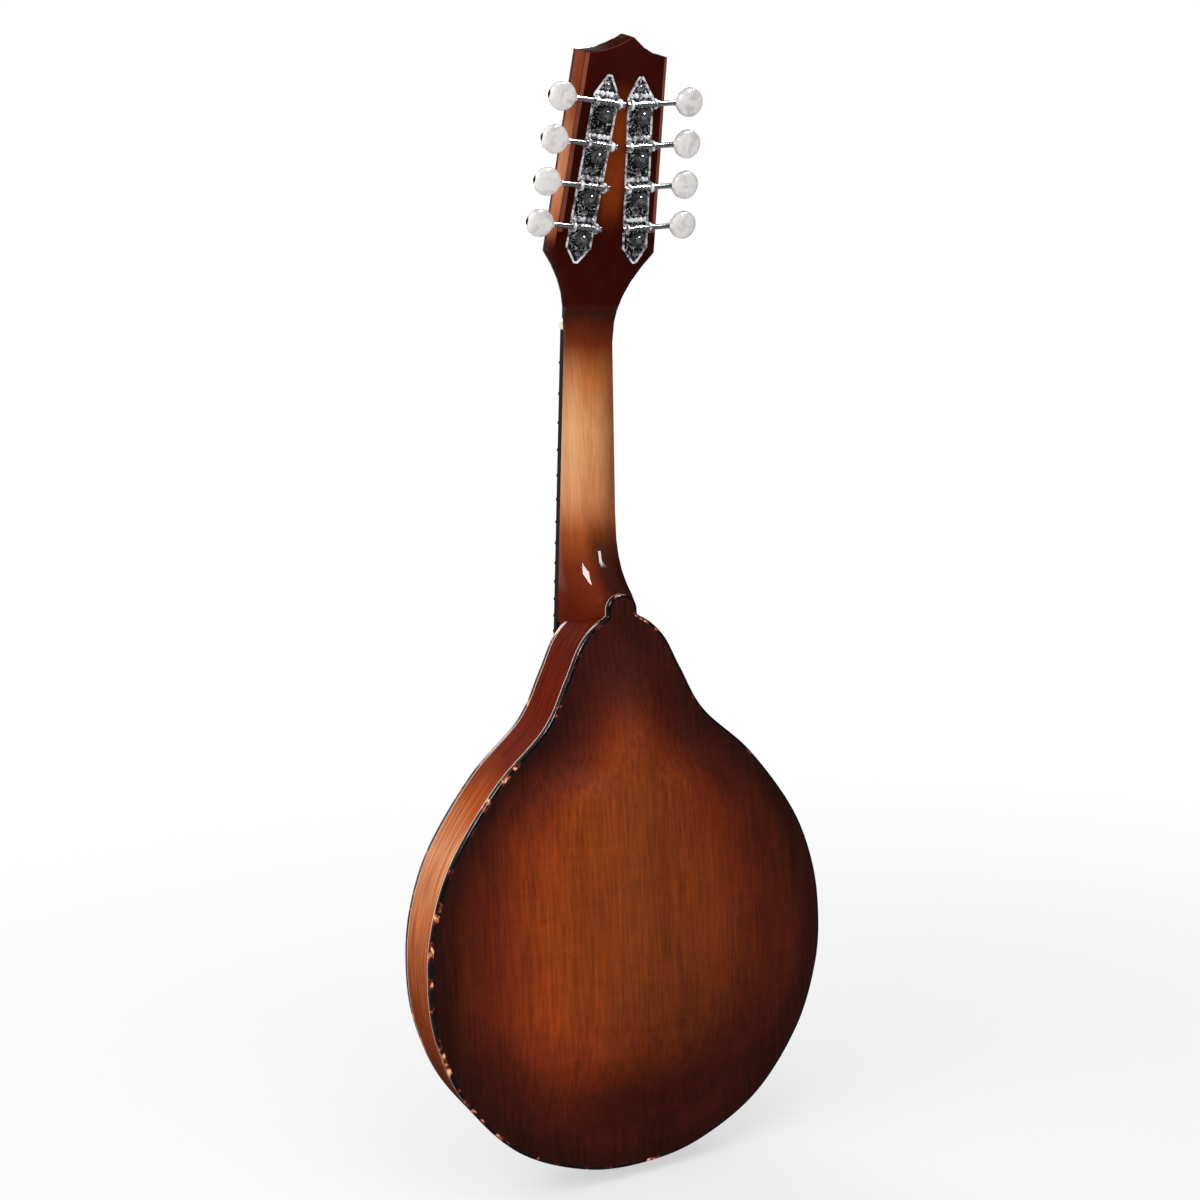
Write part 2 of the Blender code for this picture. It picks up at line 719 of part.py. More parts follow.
HEEL_TIP_Z = neck_z(HEEL_CAP_Y, HEEL_TIP)
HEEL_END_Z = neck_z(-HALF_DEPTH, heel_lowest)
FULL_HEEL_DEPTH = world_to_neck_depth(HEEL_CAP_Y, HEEL_TIP_Z)


def neck_depth(z_local):
    """Depth of the neck's back behind the seat, deepest at the heel."""
    distance = -z_local
    slender = NECK_DEPTH + NECK_DEPTH_GROWTH * distance
    start = HEEL_TIP_Z + HEEL_RISE_LENGTH
    if z_local >= start:
        return slender
    if z_local >= HEEL_TIP_Z:
        share = (start - z_local) / HEEL_RISE_LENGTH
        return blend(slender, FULL_HEEL_DEPTH, share**HEEL_RISE_POWER)
    share = min((HEEL_TIP_Z - z_local) / (HEEL_TAB_LENGTH * 0.8), 1.0)
    return FULL_HEEL_DEPTH * blend(1.0, HEEL_FULLNESS, math.sin(share * math.pi / 2))


def neck_place(z_local):
    return lambda x, depth: NECK_FRAME @ Vector((x, NECK_SEAT + depth, z_local))


def flare_place(share):
    """Places on a section of the flare, whose face leans towards the nut."""
    def place(x, depth):
        lean = HEAD_FLARE_SHEAR * share * (1 - depth / HEAD_THICKNESS)
        return HEAD_FRAME @ Vector((x, depth, HEAD_FLARE_LENGTH * share - lean))
    return place


def heel_section(z_local):
    """A section cut flat where the back's tab covers the heel."""
    half = board_half(-z_local)
    depth = neck_depth(z_local)
    cap = world_to_neck_depth(HEEL_CAP_Y, z_local)
    depths = [min(depth * v, cap) for u, v in section_shares(0.0)]
    return neck_section(half, depths, neck_place(z_local))


def riser_section(z_local):
    """A section of the block that carries the fingerboard over the soundboard."""
    half = board_half(-z_local) - RISER_SET_IN
    shares = section_shares(1.0)
    depths = []
    for u, v in shares:
        seat = NECK_FRAME @ Vector((half * u, NECK_SEAT, z_local))
        floor = top_surface(half * u, seat.z) - 3 * CLEARANCE
        depths.append(world_to_neck_depth(floor, z_local) * min(v * 1.2, 1.0))
    return neck_section(half, depths, neck_place(z_local), 1.0)


RISER_END = -(FINGERBOARD_LENGTH - 0.002)
sections = []
for share in (1.0, 0.66, 0.33):
    sections.append(riser_section(blend(HEEL_END_Z - 0.001, RISER_END, share)))
sections.append(riser_section(HEEL_END_Z - 0.0006))
for share in (0.0, 0.33, 0.67):
    sections.append(heel_section(blend(HEEL_END_Z, HEEL_TIP_Z - HEEL_TAB_LENGTH * 0.55, share)))
for share in (0.55, 0.25, 0.1):
    sections.append(heel_section(HEEL_TIP_Z - HEEL_TAB_LENGTH * share))
for share in (0.0, 0.08, 0.2, 0.38, 0.62, 1.0):
    z_local = HEEL_TIP_Z + HEEL_RISE_LENGTH * share
    sections.append(heel_section(z_local))
for share in (0.5, 1.0):
    z_local = blend(HEEL_TIP_Z + HEEL_RISE_LENGTH, -0.008, share)
    sections.append(neck_section(board_half(-z_local), neck_depth(z_local), neck_place(z_local)))
bend = NECK_FRAME @ Matrix.Translation((0, NECK_SEAT, HEAD_START)) @ Matrix.Rotation(-HEAD_ANGLE / 2, 4, "X")


def bend_place(x, depth):
    return bend @ Vector((x, depth, 0))


sections.append(neck_section(HEAD_ROOT_WIDTH / 2, NECK_DEPTH, bend_place, 0.1))


def head_half(s):
    """Half width of the headstock at a distance from the nut along its face."""
    if s <= HEAD_FLARE_LENGTH:
        return (HEAD_ROOT_WIDTH + (HEAD_LOW_WIDTH - HEAD_ROOT_WIDTH) * (s / HEAD_FLARE_LENGTH) ** 2) / 2
    share = (s - HEAD_FLARE_LENGTH) / (HEAD_LENGTH - HEAD_FLARE_LENGTH)
    return blend(HEAD_LOW_WIDTH, HEAD_TOP_WIDTH, share) / 2


def crown(x):
    """Rise of the headstock's pointed top above its corners."""
    half = HEAD_TOP_WIDTH / 2
    reach = half - HEAD_CROWN_OFFSET if x > HEAD_CROWN_OFFSET else half + HEAD_CROWN_OFFSET
    share = max(1 - abs(x - HEAD_CROWN_OFFSET) / reach, 0.0)
    return HEAD_CROWN_RISE * share**HEAD_CROWN_POWER


for share in HEAD_FLARE_SHARES:
    half = head_half(HEAD_FLARE_LENGTH * share)
    depth = blend(NECK_DEPTH, HEAD_THICKNESS, min(share / HEAD_FLARE_THINNED, 1.0))
    sections.append(neck_section(half, depth, flare_place(share), min(0.1 + share**1.5, 1.0)))
BELOW_CROWN = blend(HEAD_FLARE_LENGTH, HEAD_LENGTH, 0.85)


def straight_place(x, depth):
    return HEAD_FRAME @ Vector((x, depth, BELOW_CROWN))


sections.append(neck_section(head_half(BELOW_CROWN), HEAD_THICKNESS, straight_place, 1.0))


def crown_place(x, depth):
    """A place on the top edge; the middle point of the section moves to the crown's peak."""
    x += HEAD_CROWN_OFFSET * (1 - abs(x) / (HEAD_TOP_WIDTH / 2))
    return HEAD_FRAME @ Vector((x, depth, HEAD_LENGTH + crown(x)))


sections.append(neck_section(HEAD_TOP_WIDTH / 2, HEAD_THICKNESS, crown_place, 1.0))


def neck_solid():
    """Skin the sections; the top end is closed in strips across its thickness."""
    bm = bmesh.new()
    rows = [[bm.verts.new(point) for point in section] for section in sections]
    size = len(rows[0])
    for low, high in zip(rows, rows[1:]):
        for i in range(size):
            j = (i + 1) % size
            bm.faces.new((low[i], low[j], high[j], high[i]))
    back_count = SECTION_STEPS + 1
    for row in (rows[0], rows[-1]):
        back, face = row[:back_count], row[back_count:][::-1]
        bm.faces.new((back[0], back[1], back[2], face[0]))
        for i in range(len(face) - 1):
            bm.faces.new((face[i], back[i + 2], back[i + 3], face[i + 1]))
        bm.faces.new((face[-1], back[-3], back[-2], back[-1]))
    bmesh.ops.transform(bm, matrix=NECK_FRAME.inverted(), verts=bm.verts)
    return bm


neck = node("neck", neck_solid(), NECK_FINISH, neck_frame)

# The body's own shape, a clearance larger, trims the heel to the ribs
trim = bmesh.new()
prism(trim, inset_ring(BODY_OUTLINE, -CLEARANCE), -HALF_DEPTH - CLEARANCE, HALF_DEPTH + 0.03, along_y)
combine(neck, guide("heel_trim", trim), "DIFFERENCE")


def tenon_ring(grow):
    """Plan of the dovetail: narrow at the ribs and wide at its end in the block."""
    mouth, end = (width / 2 + grow for width in TENON_WIDTHS)
    low = BODY_TOP - TENON_LENGTH - grow
    return [(-end, low), (end, low), (mouth, BODY_TOP + 0.003), (-mouth, BODY_TOP + 0.003)]


TENON_BACK = -HALF_DEPTH + TENON_DEPTH
tenon = bmesh.new()
prism(tenon, tenon_ring(0.0), -HALF_DEPTH - 0.001, TENON_BACK, along_y)
combine(neck, guide("tenon", tenon), "UNION")
mortise = bmesh.new()
prism(mortise, tenon_ring(CLEARANCE), -HALF_DEPTH - 0.004, TENON_BACK + CLEARANCE, along_y)
mortise_cut = guide("mortise", mortise)
for piece in (soundboard, top_binding, ribs, neck_block):
    combine(piece, mortise_cut, "DIFFERENCE")

# Channel for the truss rod under the fingerboard, and the pocket for its nut
ROD_DEPTH = TRUSS_CHANNEL_WIDTH * 0.55
channel = bmesh.new()
half_channel = TRUSS_CHANNEL_WIDTH / 2
channel_profile = [
    (-half_channel, 0.0), (half_channel, 0.0),
    (half_channel, NECK_SEAT + TRUSS_CHANNEL_WIDTH), (-half_channel, NECK_SEAT + TRUSS_CHANNEL_WIDTH),
]
prism(channel, channel_profile, -TRUSS_ROD_LENGTH - CLEARANCE, TRUSS_POCKET[1] * 0.5, along_z)
combine(neck, guide("rod_channel", channel, neck_frame), "DIFFERENCE")
pocket = bmesh.new()
half_pocket = TRUSS_POCKET[0] / 2
pocket_profile = [
    (-half_pocket, TRUSS_POCKET_START), (half_pocket, TRUSS_POCKET_START),
    (half_pocket, TRUSS_POCKET[1]), (-half_pocket, TRUSS_POCKET[1]),
]
prism(pocket, pocket_profile, -0.006, TRUSS_CHANNEL_WIDTH + 0.001, along_y)
pocket_cut = guide("rod_pocket", pocket, head_frame)
combine(neck, pocket_cut, "DIFFERENCE")

rod = bmesh.new()
ROD_NUT_START = HEAD_START + TRUSS_POCKET_START + 2 * CLEARANCE
rod_profile = (
    (TRUSS_ROD_RADIUS, -TRUSS_ROD_LENGTH), (TRUSS_ROD_RADIUS, ROD_NUT_START),
    (TRUSS_NUT_RADIUS, ROD_NUT_START + 0.0002), (TRUSS_NUT_RADIUS, ROD_NUT_START + TRUSS_NUT_LENGTH - 0.0006),
    (TRUSS_NUT_RADIUS * 0.8, ROD_NUT_START + TRUSS_NUT_LENGTH),
)
turned(rod, rod_profile, 6, along_z)
node("truss_rod", rod, STEEL, neck_frame, (0, NECK_SEAT + ROD_DEPTH, 0))

# Fingerboard with its frets pressed in
board = bmesh.new()
rows = [(0.0, 0.0)]
for fret in range(1, FRET_COUNT + 1):
    distance = SCALE_LENGTH * (1 - 2 ** (-fret / 12))
    half = FRET_WIDTH / 2
    rows += [(distance - half, 0.0), (distance - half * 0.55, FRET_HEIGHT)]
    rows += [(distance + half * 0.55, FRET_HEIGHT), (distance + half, 0.0)]
rows.append((FINGERBOARD_LENGTH, 0.0))
sections_board = []
for distance, rise in rows:
    half = board_half(distance)
    sections_board.append([
        (-half, FINGERBOARD_THICKNESS, -distance), (half, FINGERBOARD_THICKNESS, -distance),
        (half, -rise, -distance), (-half, -rise, -distance),
    ])
loft(board, sections_board)
node("fingerboard", board, EBONY, neck_frame)


# Strings: where each one crosses the nut and the bridge
def string_layout():
    """Name, diameter and X at the nut and the bridge of all eight strings, bass first."""
    layout = []
    for index, (name, diameter) in enumerate(STRING_COURSES):
        course = index - (len(STRING_COURSES) - 1) / 2
        for pair, pair_name in ((-1, 1), (1, 2)):
            at_nut = course * COURSE_SPACING_NUT + pair * PAIR_SPACING_NUT / 2
            at_bridge = course * COURSE_SPACING_BRIDGE + pair * PAIR_SPACING_BRIDGE / 2
            layout.append((f"string_{name}_{pair_name}", diameter, at_nut, at_bridge))
    return layout


STRINGS = string_layout()


def notched_profile(half, bottom, top, slots):
    """A bar seen end on, with a square notch for each string: (x, half width, floor)."""
    profile = [(half, bottom), (half, top + 0.0006), (half - 0.0006, top)]
    for x, width, floor in sorted(slots, reverse=True):
        profile += [(x + width, top), (x + width, floor), (x - width, floor), (x - width, top)]
    profile += [(-half + 0.0006, top), (-half, top + 0.0006), (-half, bottom)]
    return profile


nut = bmesh.new()
nut_slots = [(x, diameter / 2 + CLEARANCE, -STRING_OVER_NUT + CLEARANCE) for _, diameter, x, _ in STRINGS]
nut_outline = notched_profile(NUT_WIDTH / 2, FINGERBOARD_THICKNESS, -NUT_HEIGHT, nut_slots)
prism(nut, nut_outline, CLEARANCE, CLEARANCE + NUT_THICKNESS, along_z)
node("nut", nut, BONE, neck_frame)

# Headstock overlay with the ferrules that guide the posts
def tuner_place(side, position, along=0.0):
    """Place on the headstock's face of a tuner, moved along its plate."""
    run = position * TUNER_SPACING + along
    x = TUNER_LINE_HALF - math.sin(TUNER_LINE_LEAN) * run
    return side * x, TUNER_START + math.cos(TUNER_LINE_LEAN) * run


right_side = [(head_half(OVERLAY_START) - CLEARANCE, OVERLAY_START)]
for share in HEAD_FLARE_SHARES:
    half = head_half(HEAD_FLARE_LENGTH * share)
    right_side.append((half - CLEARANCE, (HEAD_FLARE_LENGTH - HEAD_FLARE_SHEAR) * share))
right_side.append((HEAD_TOP_WIDTH / 2 - CLEARANCE, HEAD_LENGTH))
crown_steps = 6
half_top = HEAD_TOP_WIDTH / 2
crown_xs = [blend(half_top, HEAD_CROWN_OFFSET, i / crown_steps) for i in range(1, crown_steps + 1)]
crown_xs += [blend(HEAD_CROWN_OFFSET, -half_top, i / crown_steps) for i in range(1, crown_steps)]
overlay_ring = right_side + [(x, HEAD_LENGTH + crown(x)) for x in crown_xs]
overlay_ring += [(-x, s) for x, s in reversed(right_side)]
overlay = bmesh.new()
prism(overlay, overlay_ring, OVERLAY_FACE, -CLEARANCE, along_y)
head_overlay = node("head_overlay", overlay, BLACK_PLASTIC, head_frame)
combine(head_overlay, pocket_cut, "DIFFERENCE")

ferrules, post_holes = bmesh.new(), bmesh.new()
for side in (-1, 1):
    for position in range(TUNERS_PER_SIDE):
        centre = tuner_place(side, position, -GEAR_OFFSET)
        prism(ferrules, circle(FERRULE_RADIUS, ROUND_SIDES, centre),
              OVERLAY_FACE - FERRULE_HEIGHT, -CLEARANCE - HEAD_OVERLAY / 2, along_y)
        prism(post_holes, circle(POST_BORE, ROUND_SIDES, centre), -0.02, HEAD_THICKNESS + 0.01, along_y)
combine(head_overlay, guide("ferrules", ferrules, head_frame), "UNION")
post_hole_cut = guide("post_holes", post_holes, head_frame)
combine(head_overlay, post_hole_cut, "DIFFERENCE")
combine(neck, post_hole_cut, "DIFFERENCE")

# Bell-shaped cover over the truss rod's pocket
cover = bmesh.new()
half_cover = TRUSS_POCKET[0] / 2 + 0.0022
cover_length = TRUSS_POCKET[1] + 0.004
cover_side = [
    (half_cover + 0.0016, OVERLAY_START + 0.0006), (half_cover + 0.0010, cover_length * 0.28),
    (half_cover, cover_length * 0.6), (half_cover * 0.72, cover_length * 0.84),
    (half_cover * 0.3, cover_length * 0.97),
]
cover_ring = cover_side + [(0.0, cover_length)] + [(-x, s) for x, s in reversed(cover_side)]
prism(cover, cover_ring, OVERLAY_FACE - CLEARANCE - TRUSS_COVER_THICKNESS, OVERLAY_FACE - CLEARANCE, along_y)
node("truss_rod_cover", cover, BLACK_PLASTIC, head_frame)


# Tuners
GEAR_WORKING_RADIUS = (GEAR_TIP_RADIUS + GEAR_OFFSET - WORM_CREST_RADIUS) / 2
WORM_PITCH = 2 * math.pi * GEAR_WORKING_RADIUS / GEAR_TEETH
PLATE_SEAT = HEAD_THICKNESS + CLEARANCE
EAR_REACH = TUNER_PLATE_WIDTH / 2


def plate_outline():
    """The tuner plate, pointed at both ends."""
    half = TUNER_PLATE_WIDTH / 2
    low, high = -TUNER_PLATE_ENDS[0], (TUNERS_PER_SIDE - 1) * TUNER_SPACING + TUNER_PLATE_ENDS[1]
    shoulder_low, shoulder_high = low + TUNER_PLATE_POINTS[0], high - TUNER_PLATE_POINTS[1]
    right = [(TUNER_PLATE_TIP, low), (half, shoulder_low), (half, shoulder_high), (TUNER_PLATE_TIP, high)]
    return right + [(-x, z) for x, z in reversed(right)]


def ear(bm, x0, x1, z):
    """An upright ear of the plate with the key shaft's bore through it."""
    base = TUNER_PLATE_THICKNESS / 2
    axis = KEY_AXIS_HEIGHT
    outer = [
        (base, -EAR_HALF_LENGTH), (axis, -EAR_HALF_LENGTH), (axis + EAR_RISE, -EAR_HALF_LENGTH * 0.5),
        (axis + EAR_RISE, EAR_HALF_LENGTH * 0.5), (axis, EAR_HALF_LENGTH), (base, EAR_HALF_LENGTH),
    ]
    starts = [math.atan2(v, u - axis) for u, v in outer]
    inner = [(axis + EAR_BORE * math.cos(a), EAR_BORE * math.sin(a)) for a in starts]
    sections_ear = []
    for (ou, ov), (iu, iv) in zip(outer, inner):
        sections_ear.append([(x0, ou, z + ov), (x1, ou, z + ov), (x1, iu, z + iv), (x0, iu, z + iv)])
    loft(bm, sections_ear, closed=True)


def post_mesh(side):
    """A gear with straight teeth, its screw head, and the post that it turns, along -Y."""
    bm = bmesh.new()
    step = 2 * math.pi / GEAR_TEETH

    def ring(radius, height, turn=-0.5):
        angles = [step * (tooth + turn) + math.pi / 2 for tooth in range(GEAR_TEETH)]
        return [bm.verts.new((radius * math.cos(a), height, radius * math.sin(a))) for a in angles]

    gear_low = KEY_AXIS_HEIGHT - GEAR_THICKNESS / 2
    gear_high = KEY_AXIS_HEIGHT + GEAR_THICKNESS / 2
    front = OVERLAY_FACE - POST_HEIGHT - PLATE_SEAT
    profiles = (
        (gear_low, ((POST_RADIUS, gear_low), (POST_RADIUS, front + POST_WAIST_START),
                    (POST_RADIUS * POST_WAIST, front + POST_WAIST_START - 0.0012),
                    (POST_RADIUS * POST_WAIST, front + 0.0012), (POST_RADIUS * 0.9, front))),
        (gear_high, ((GEAR_SCREW_RADIUS, gear_high), (GEAR_SCREW_RADIUS, gear_high + GEAR_SCREW_HEIGHT))),
    )
    teeth_outlines = []
    for height, profile in profiles:
        roots = ring(GEAR_ROOT_RADIUS, height)
        tips = list(zip(ring(GEAR_TIP_RADIUS, height, -TOOTH_TIP), ring(GEAR_TIP_RADIUS, height, TOOTH_TIP)))
        turned_rows = [ring(radius, y) for radius, y in profile]
        outline = []
        for i in range(GEAR_TEETH):
            j = (i + 1) % GEAR_TEETH
            bm.faces.new((turned_rows[0][i], roots[i], *tips[i], roots[j], turned_rows[0][j]))
            outline += [roots[i], *tips[i]]
            for a, b in zip(turned_rows, turned_rows[1:]):
                bm.faces.new((a[i], a[j], b[j], b[i]))
        bm.faces.new(turned_rows[-1])
        teeth_outlines.append(outline)
    low, high = teeth_outlines
    for i in range(len(low)):
        j = (i + 1) % len(low)
        bm.faces.new((low[i], low[j], high[j], high[i]))
    return shared_mesh(bm, f"tuner_post_{side}")


def key_shaft_mesh(side):
    """The key's shaft along X, with a worm thread of true pitch between the ears."""
    bm = bmesh.new()
    sides, root, crest = WORM_SIDES, KEY_SHAFT_RADIUS, WORM_CREST_RADIUS
    steps = sides * WORM_TURNS
    start = -WORM_TURNS * WORM_PITCH / 2
    widths = ((root, -0.27), (crest, -0.08), (crest, 0.08), (root, 0.27))

    def put(radius, turn_steps, x):
        angle = math.pi - side * 2 * math.pi * turn_steps / sides
        return bm.verts.new((side * x, radius * math.sin(angle), radius * math.cos(angle)))

    thread = []
    for i in range(steps + 1):
        x = start + WORM_PITCH * i / sides
        fade = 0.0 if i in (0, steps) else 1.0
        thread.append([put(blend(root, radius, fade), i, x + share * WORM_PITCH) for radius, share in widths])
    for a, b in zip(thread, thread[1:]):
        for k in range(3):
            bm.faces.new((a[k], a[k + 1], b[k + 1], b[k]))
    for i in range(steps - sides):
        bm.faces.new((thread[i][3], thread[i + sides][0], thread[i + sides + 1][0], thread[i + 1][3]))
    inner_end = -(EAR_REACH + KEY_SHAFT_OVERHANG)
    outer_end = BUTTON_REACH + BUTTON_RADIUS * SHAFT_END_IN_BUTTON
    low_rows = [[put(root, i, x) for i in range(sides)] for x in (inner_end, start - WORM_PITCH * 0.7)]
    high_start = start + WORM_TURNS * WORM_PITCH
    high_rows = [[put(root, i, x) for i in range(sides)] for x in (high_start + WORM_PITCH * 0.7, outer_end)]
    for rows_rod in (low_rows, high_rows):
        for i in range(sides):
            j = (i + 1) % sides
            bm.faces.new((rows_rod[0][i], rows_rod[0][j], rows_rod[1][j], rows_rod[1][i]))
    bm.faces.new(low_rows[0])
    bm.faces.new(high_rows[1])
    low, high = low_rows[1], high_rows[0]
    for i in range(sides - 1):
        bm.faces.new((low[i], low[i + 1], thread[i + 1][0], thread[i][0]))
        k = steps - sides + i
        bm.faces.new((thread[k][3], thread[k + 1][3], high[i + 1], high[i]))
    first, last = thread[0], thread[steps]
    bm.faces.new((low[sides - 1], low[0], *first, thread[sides][0], thread[sides - 1][0]))
    bm.faces.new((thread[steps - 1][3], last[3], last[2], last[1], last[0], thread[steps - sides][3],
                  high[0], high[sides - 1]))
    return shared_mesh(bm, f"key_shaft_{side}", 50)


def button_mesh(side):
    """A flattened round button along X, with a blind bore for its shaft."""
    bm = bmesh.new()
    sides = 12
    bore = KEY_SHAFT_RADIUS + 2 * CLEARANCE
    inner_face = BUTTON_REACH - BUTTON_RADIUS
    bore_end = BUTTON_REACH + BUTTON_RADIUS * SHAFT_END_IN_BUTTON + CLEARANCE
    thin = BUTTON_HALF_THICKNESS / BUTTON_RADIUS
    neck = inner_face - BUTTON_NECK
    rings = [(bore_end, bore, bore), (neck, bore, bore), (neck, BUTTON_COLLAR, BUTTON_COLLAR)]
    for angle in (-52, -22, 10, 42, 68):
        turn = math.radians(angle)
        radius = BUTTON_RADIUS * math.cos(turn)
        along = BUTTON_REACH + BUTTON_RADIUS * math.sin(turn)
        rings.append((along, radius, max(radius * thin, radius * thin**0.5 * 0.72)))
    rings.append((BUTTON_REACH + BUTTON_RADIUS, BUTTON_RADIUS * 0.16, BUTTON_RADIUS * 0.12))
    turns = [2 * math.pi * i / sides for i in range(sides)]
    loft(bm, [
        [(side * x, thick * math.sin(turn), tall * math.cos(turn)) for turn in turns]
        for x, tall, thick in rings
    ])
    return shared_mesh(bm, f"tuner_button_{side}", 60)


for side, side_name in ((-1, "bass"), (1, "treble")):
    lean = Matrix.Rotation(-side * TUNER_LINE_LEAN, 4, "Y")
    start_x, start_s = tuner_place(side, 0)
    plate_frame = frame_empty(
        f"tuner_frame_{side_name}", Matrix.Translation((start_x, PLATE_SEAT, start_s)) @ lean, head_frame,
    )
    sheet = bmesh.new()
    prism(sheet, plate_outline(), 0.0, TUNER_PLATE_THICKNESS, along_y)
    plate = node(f"tuner_plate_{side_name}", sheet, CHROME, plate_frame)
    holes, ears = bmesh.new(), bmesh.new()
    for position in range(TUNERS_PER_SIDE):
        z = position * TUNER_SPACING
        prism(holes, circle(POST_BORE, ROUND_SIDES, (0, z - GEAR_OFFSET)), -0.003, 0.004, along_y)
        for edge in (-1, 1):
            ear(ears, edge * (EAR_REACH - EAR_THICKNESS), edge * EAR_REACH, z)
    combine(plate, guide(f"plate_holes_{side_name}", holes, plate_frame), "DIFFERENCE")
    combine(plate, guide(f"plate_ears_{side_name}", ears, plate_frame), "UNION")

    gear_and_post, shaft, button = post_mesh(side), key_shaft_mesh(side), button_mesh(side)
    for position in range(TUNERS_PER_SIDE):
        label = f"{side_name}_{position + 1}"
        z = position * TUNER_SPACING
        node_from_mesh(f"tuner_post_{label}", gear_and_post, BRASS, plate_frame, (0, 0, z - GEAR_OFFSET))
        node_from_mesh(f"key_shaft_{label}", shaft, STEEL, plate_frame, (0, KEY_AXIS_HEIGHT, z))
        node_from_mesh(f"tuner_button_{label}", button, PEARL, plate_frame, (0, KEY_AXIS_HEIGHT, z))


# Bridge: a base on the arch, two studs with thumbwheels, and a slotted saddle
def neck_point(x, y, z):
    return NECK_FRAME @ Vector((x, y, z))


FRETS_AT_TWELFTH = FRET_HEIGHT + STRING_OVER_TWELFTH_FRET
STRING_OVER_BRIDGE = 2 * FRETS_AT_TWELFTH - STRING_OVER_NUT
bridge_point = neck_point(0, -STRING_OVER_BRIDGE, -SCALE_LENGTH)
BRIDGE_Z = bridge_point.z
STRING_UNDERSIDE_Y = bridge_point.y
SADDLE_TOP = STRING_UNDERSIDE_Y - SADDLE_SLOT
SADDLE_BOTTOM = SADDLE_TOP + SADDLE_HEIGHT
WHEEL_TOP = SADDLE_BOTTOM + CLEARANCE
WHEEL_BOTTOM = WHEEL_TOP + THUMBWHEEL_THICKNESS
BASE_TOP = WHEEL_BOTTOM + SADDLE_TRAVEL + CLEARANCE


def bridge_seat(x, thickness):
    """World Y just clear of the soundboard under the bridge."""
    heights = [top_surface(x, BRIDGE_Z + offset * thickness / 2) for offset in (-1, 0, 1)]
    return min(heights) - 2 * CLEARANCE


base = bmesh.new()
base_sections = []
base_steps = 12
half_base = BRIDGE_BASE_LENGTH / 2
level_half = STUD_SPACING / 2 + THUMBWHEEL_RADIUS
for i in range(base_steps + 1):
    x = blend(-half_base, half_base, i / base_steps)
    out = abs(x) / half_base
    half_thick = BRIDGE_BASE_THICKNESS / 2 * (1 - BRIDGE_END_THINNING * out**3)
    bottom = bridge_seat(x, 2 * half_thick)
    gap_half = half_base - BRIDGE_FOOT_LENGTH
    if abs(x) < gap_half:
        bottom -= BRIDGE_ARCH_LIFT * math.cos(abs(x) / gap_half * math.pi / 2)
    top = BASE_TOP
    if abs(x) > level_half:
        fall = (abs(x) - level_half) / (half_base - level_half)
        top = blend(BASE_TOP, bridge_seat(x, 2 * half_thick) - BRIDGE_END_HEIGHT, fall**0.8)
    base_sections.append([
        (x, bottom, BRIDGE_Z - half_thick), (x, bottom, BRIDGE_Z + half_thick),
        (x, top, BRIDGE_Z + half_thick * 0.8), (x, top, BRIDGE_Z - half_thick * 0.8),
    ])
loft(base, base_sections)
bridge_base = node("bridge_base", base, ROSEWOOD)
studs = bmesh.new()
for side in (-1, 1):
    prism(studs, circle(STUD_RADIUS, 8, (side * STUD_SPACING / 2, BRIDGE_Z)),
          SADDLE_BOTTOM - STUD_IN_SADDLE, BASE_TOP + STUD_IN_BASE, along_y)
combine(bridge_base, guide("bridge_studs", studs), "UNION")

saddle = bmesh.new()
slot_floor = STRING_UNDERSIDE_Y + CLEARANCE
saddle_slots = [(x, diameter / 2 + CLEARANCE, slot_floor) for _, diameter, _, x in STRINGS]
saddle_profile = notched_profile(SADDLE_LENGTH / 2, SADDLE_BOTTOM, SADDLE_TOP, saddle_slots)
saddle_sections = []
for edge in (-1, 1):
    section = []
    for x, y in saddle_profile:
        share = (y - SADDLE_TOP) / SADDLE_HEIGHT
        section.append((x, y, BRIDGE_Z + edge * blend(SADDLE_THICKNESS[1], SADDLE_THICKNESS[0], share) / 2))
    saddle_sections.append(section)
loft(saddle, saddle_sections)
bridge_saddle = node("bridge_saddle", saddle, ROSEWOOD)
sockets = bmesh.new()
for side in (-1, 1):
    prism(sockets, circle(STUD_RADIUS + 1.5 * CLEARANCE, 8, (side * STUD_SPACING / 2, BRIDGE_Z)),
          SADDLE_BOTTOM - STUD_IN_SADDLE - SADDLE_TRAVEL - CLEARANCE, SADDLE_BOTTOM + 0.003, along_y)
combine(bridge_saddle, guide("saddle_sockets", sockets), "DIFFERENCE")

for side, side_name in ((-1, "bass"), (1, "treble")):
    wheel = bmesh.new()
    half_step = math.pi / THUMBWHEEL_SIDES
    bore_ring = circle(STUD_RADIUS + 1.5 * CLEARANCE, THUMBWHEEL_SIDES, start=half_step)
    rim = circle(THUMBWHEEL_RADIUS, THUMBWHEEL_SIDES, start=half_step)
    wheel_sections = [
        [(ox, 0.0, oz), (ox, THUMBWHEEL_THICKNESS, oz), (ix, THUMBWHEEL_THICKNESS, iz), (ix, 0.0, iz)]
        for (ox, oz), (ix, iz) in zip(rim, bore_ring)
    ]
    loft(wheel, wheel_sections, closed=True)
    node(f"bridge_thumbwheel_{side_name}", wheel, BRASS, place=(side * STUD_SPACING / 2, WHEEL_TOP, BRIDGE_Z))


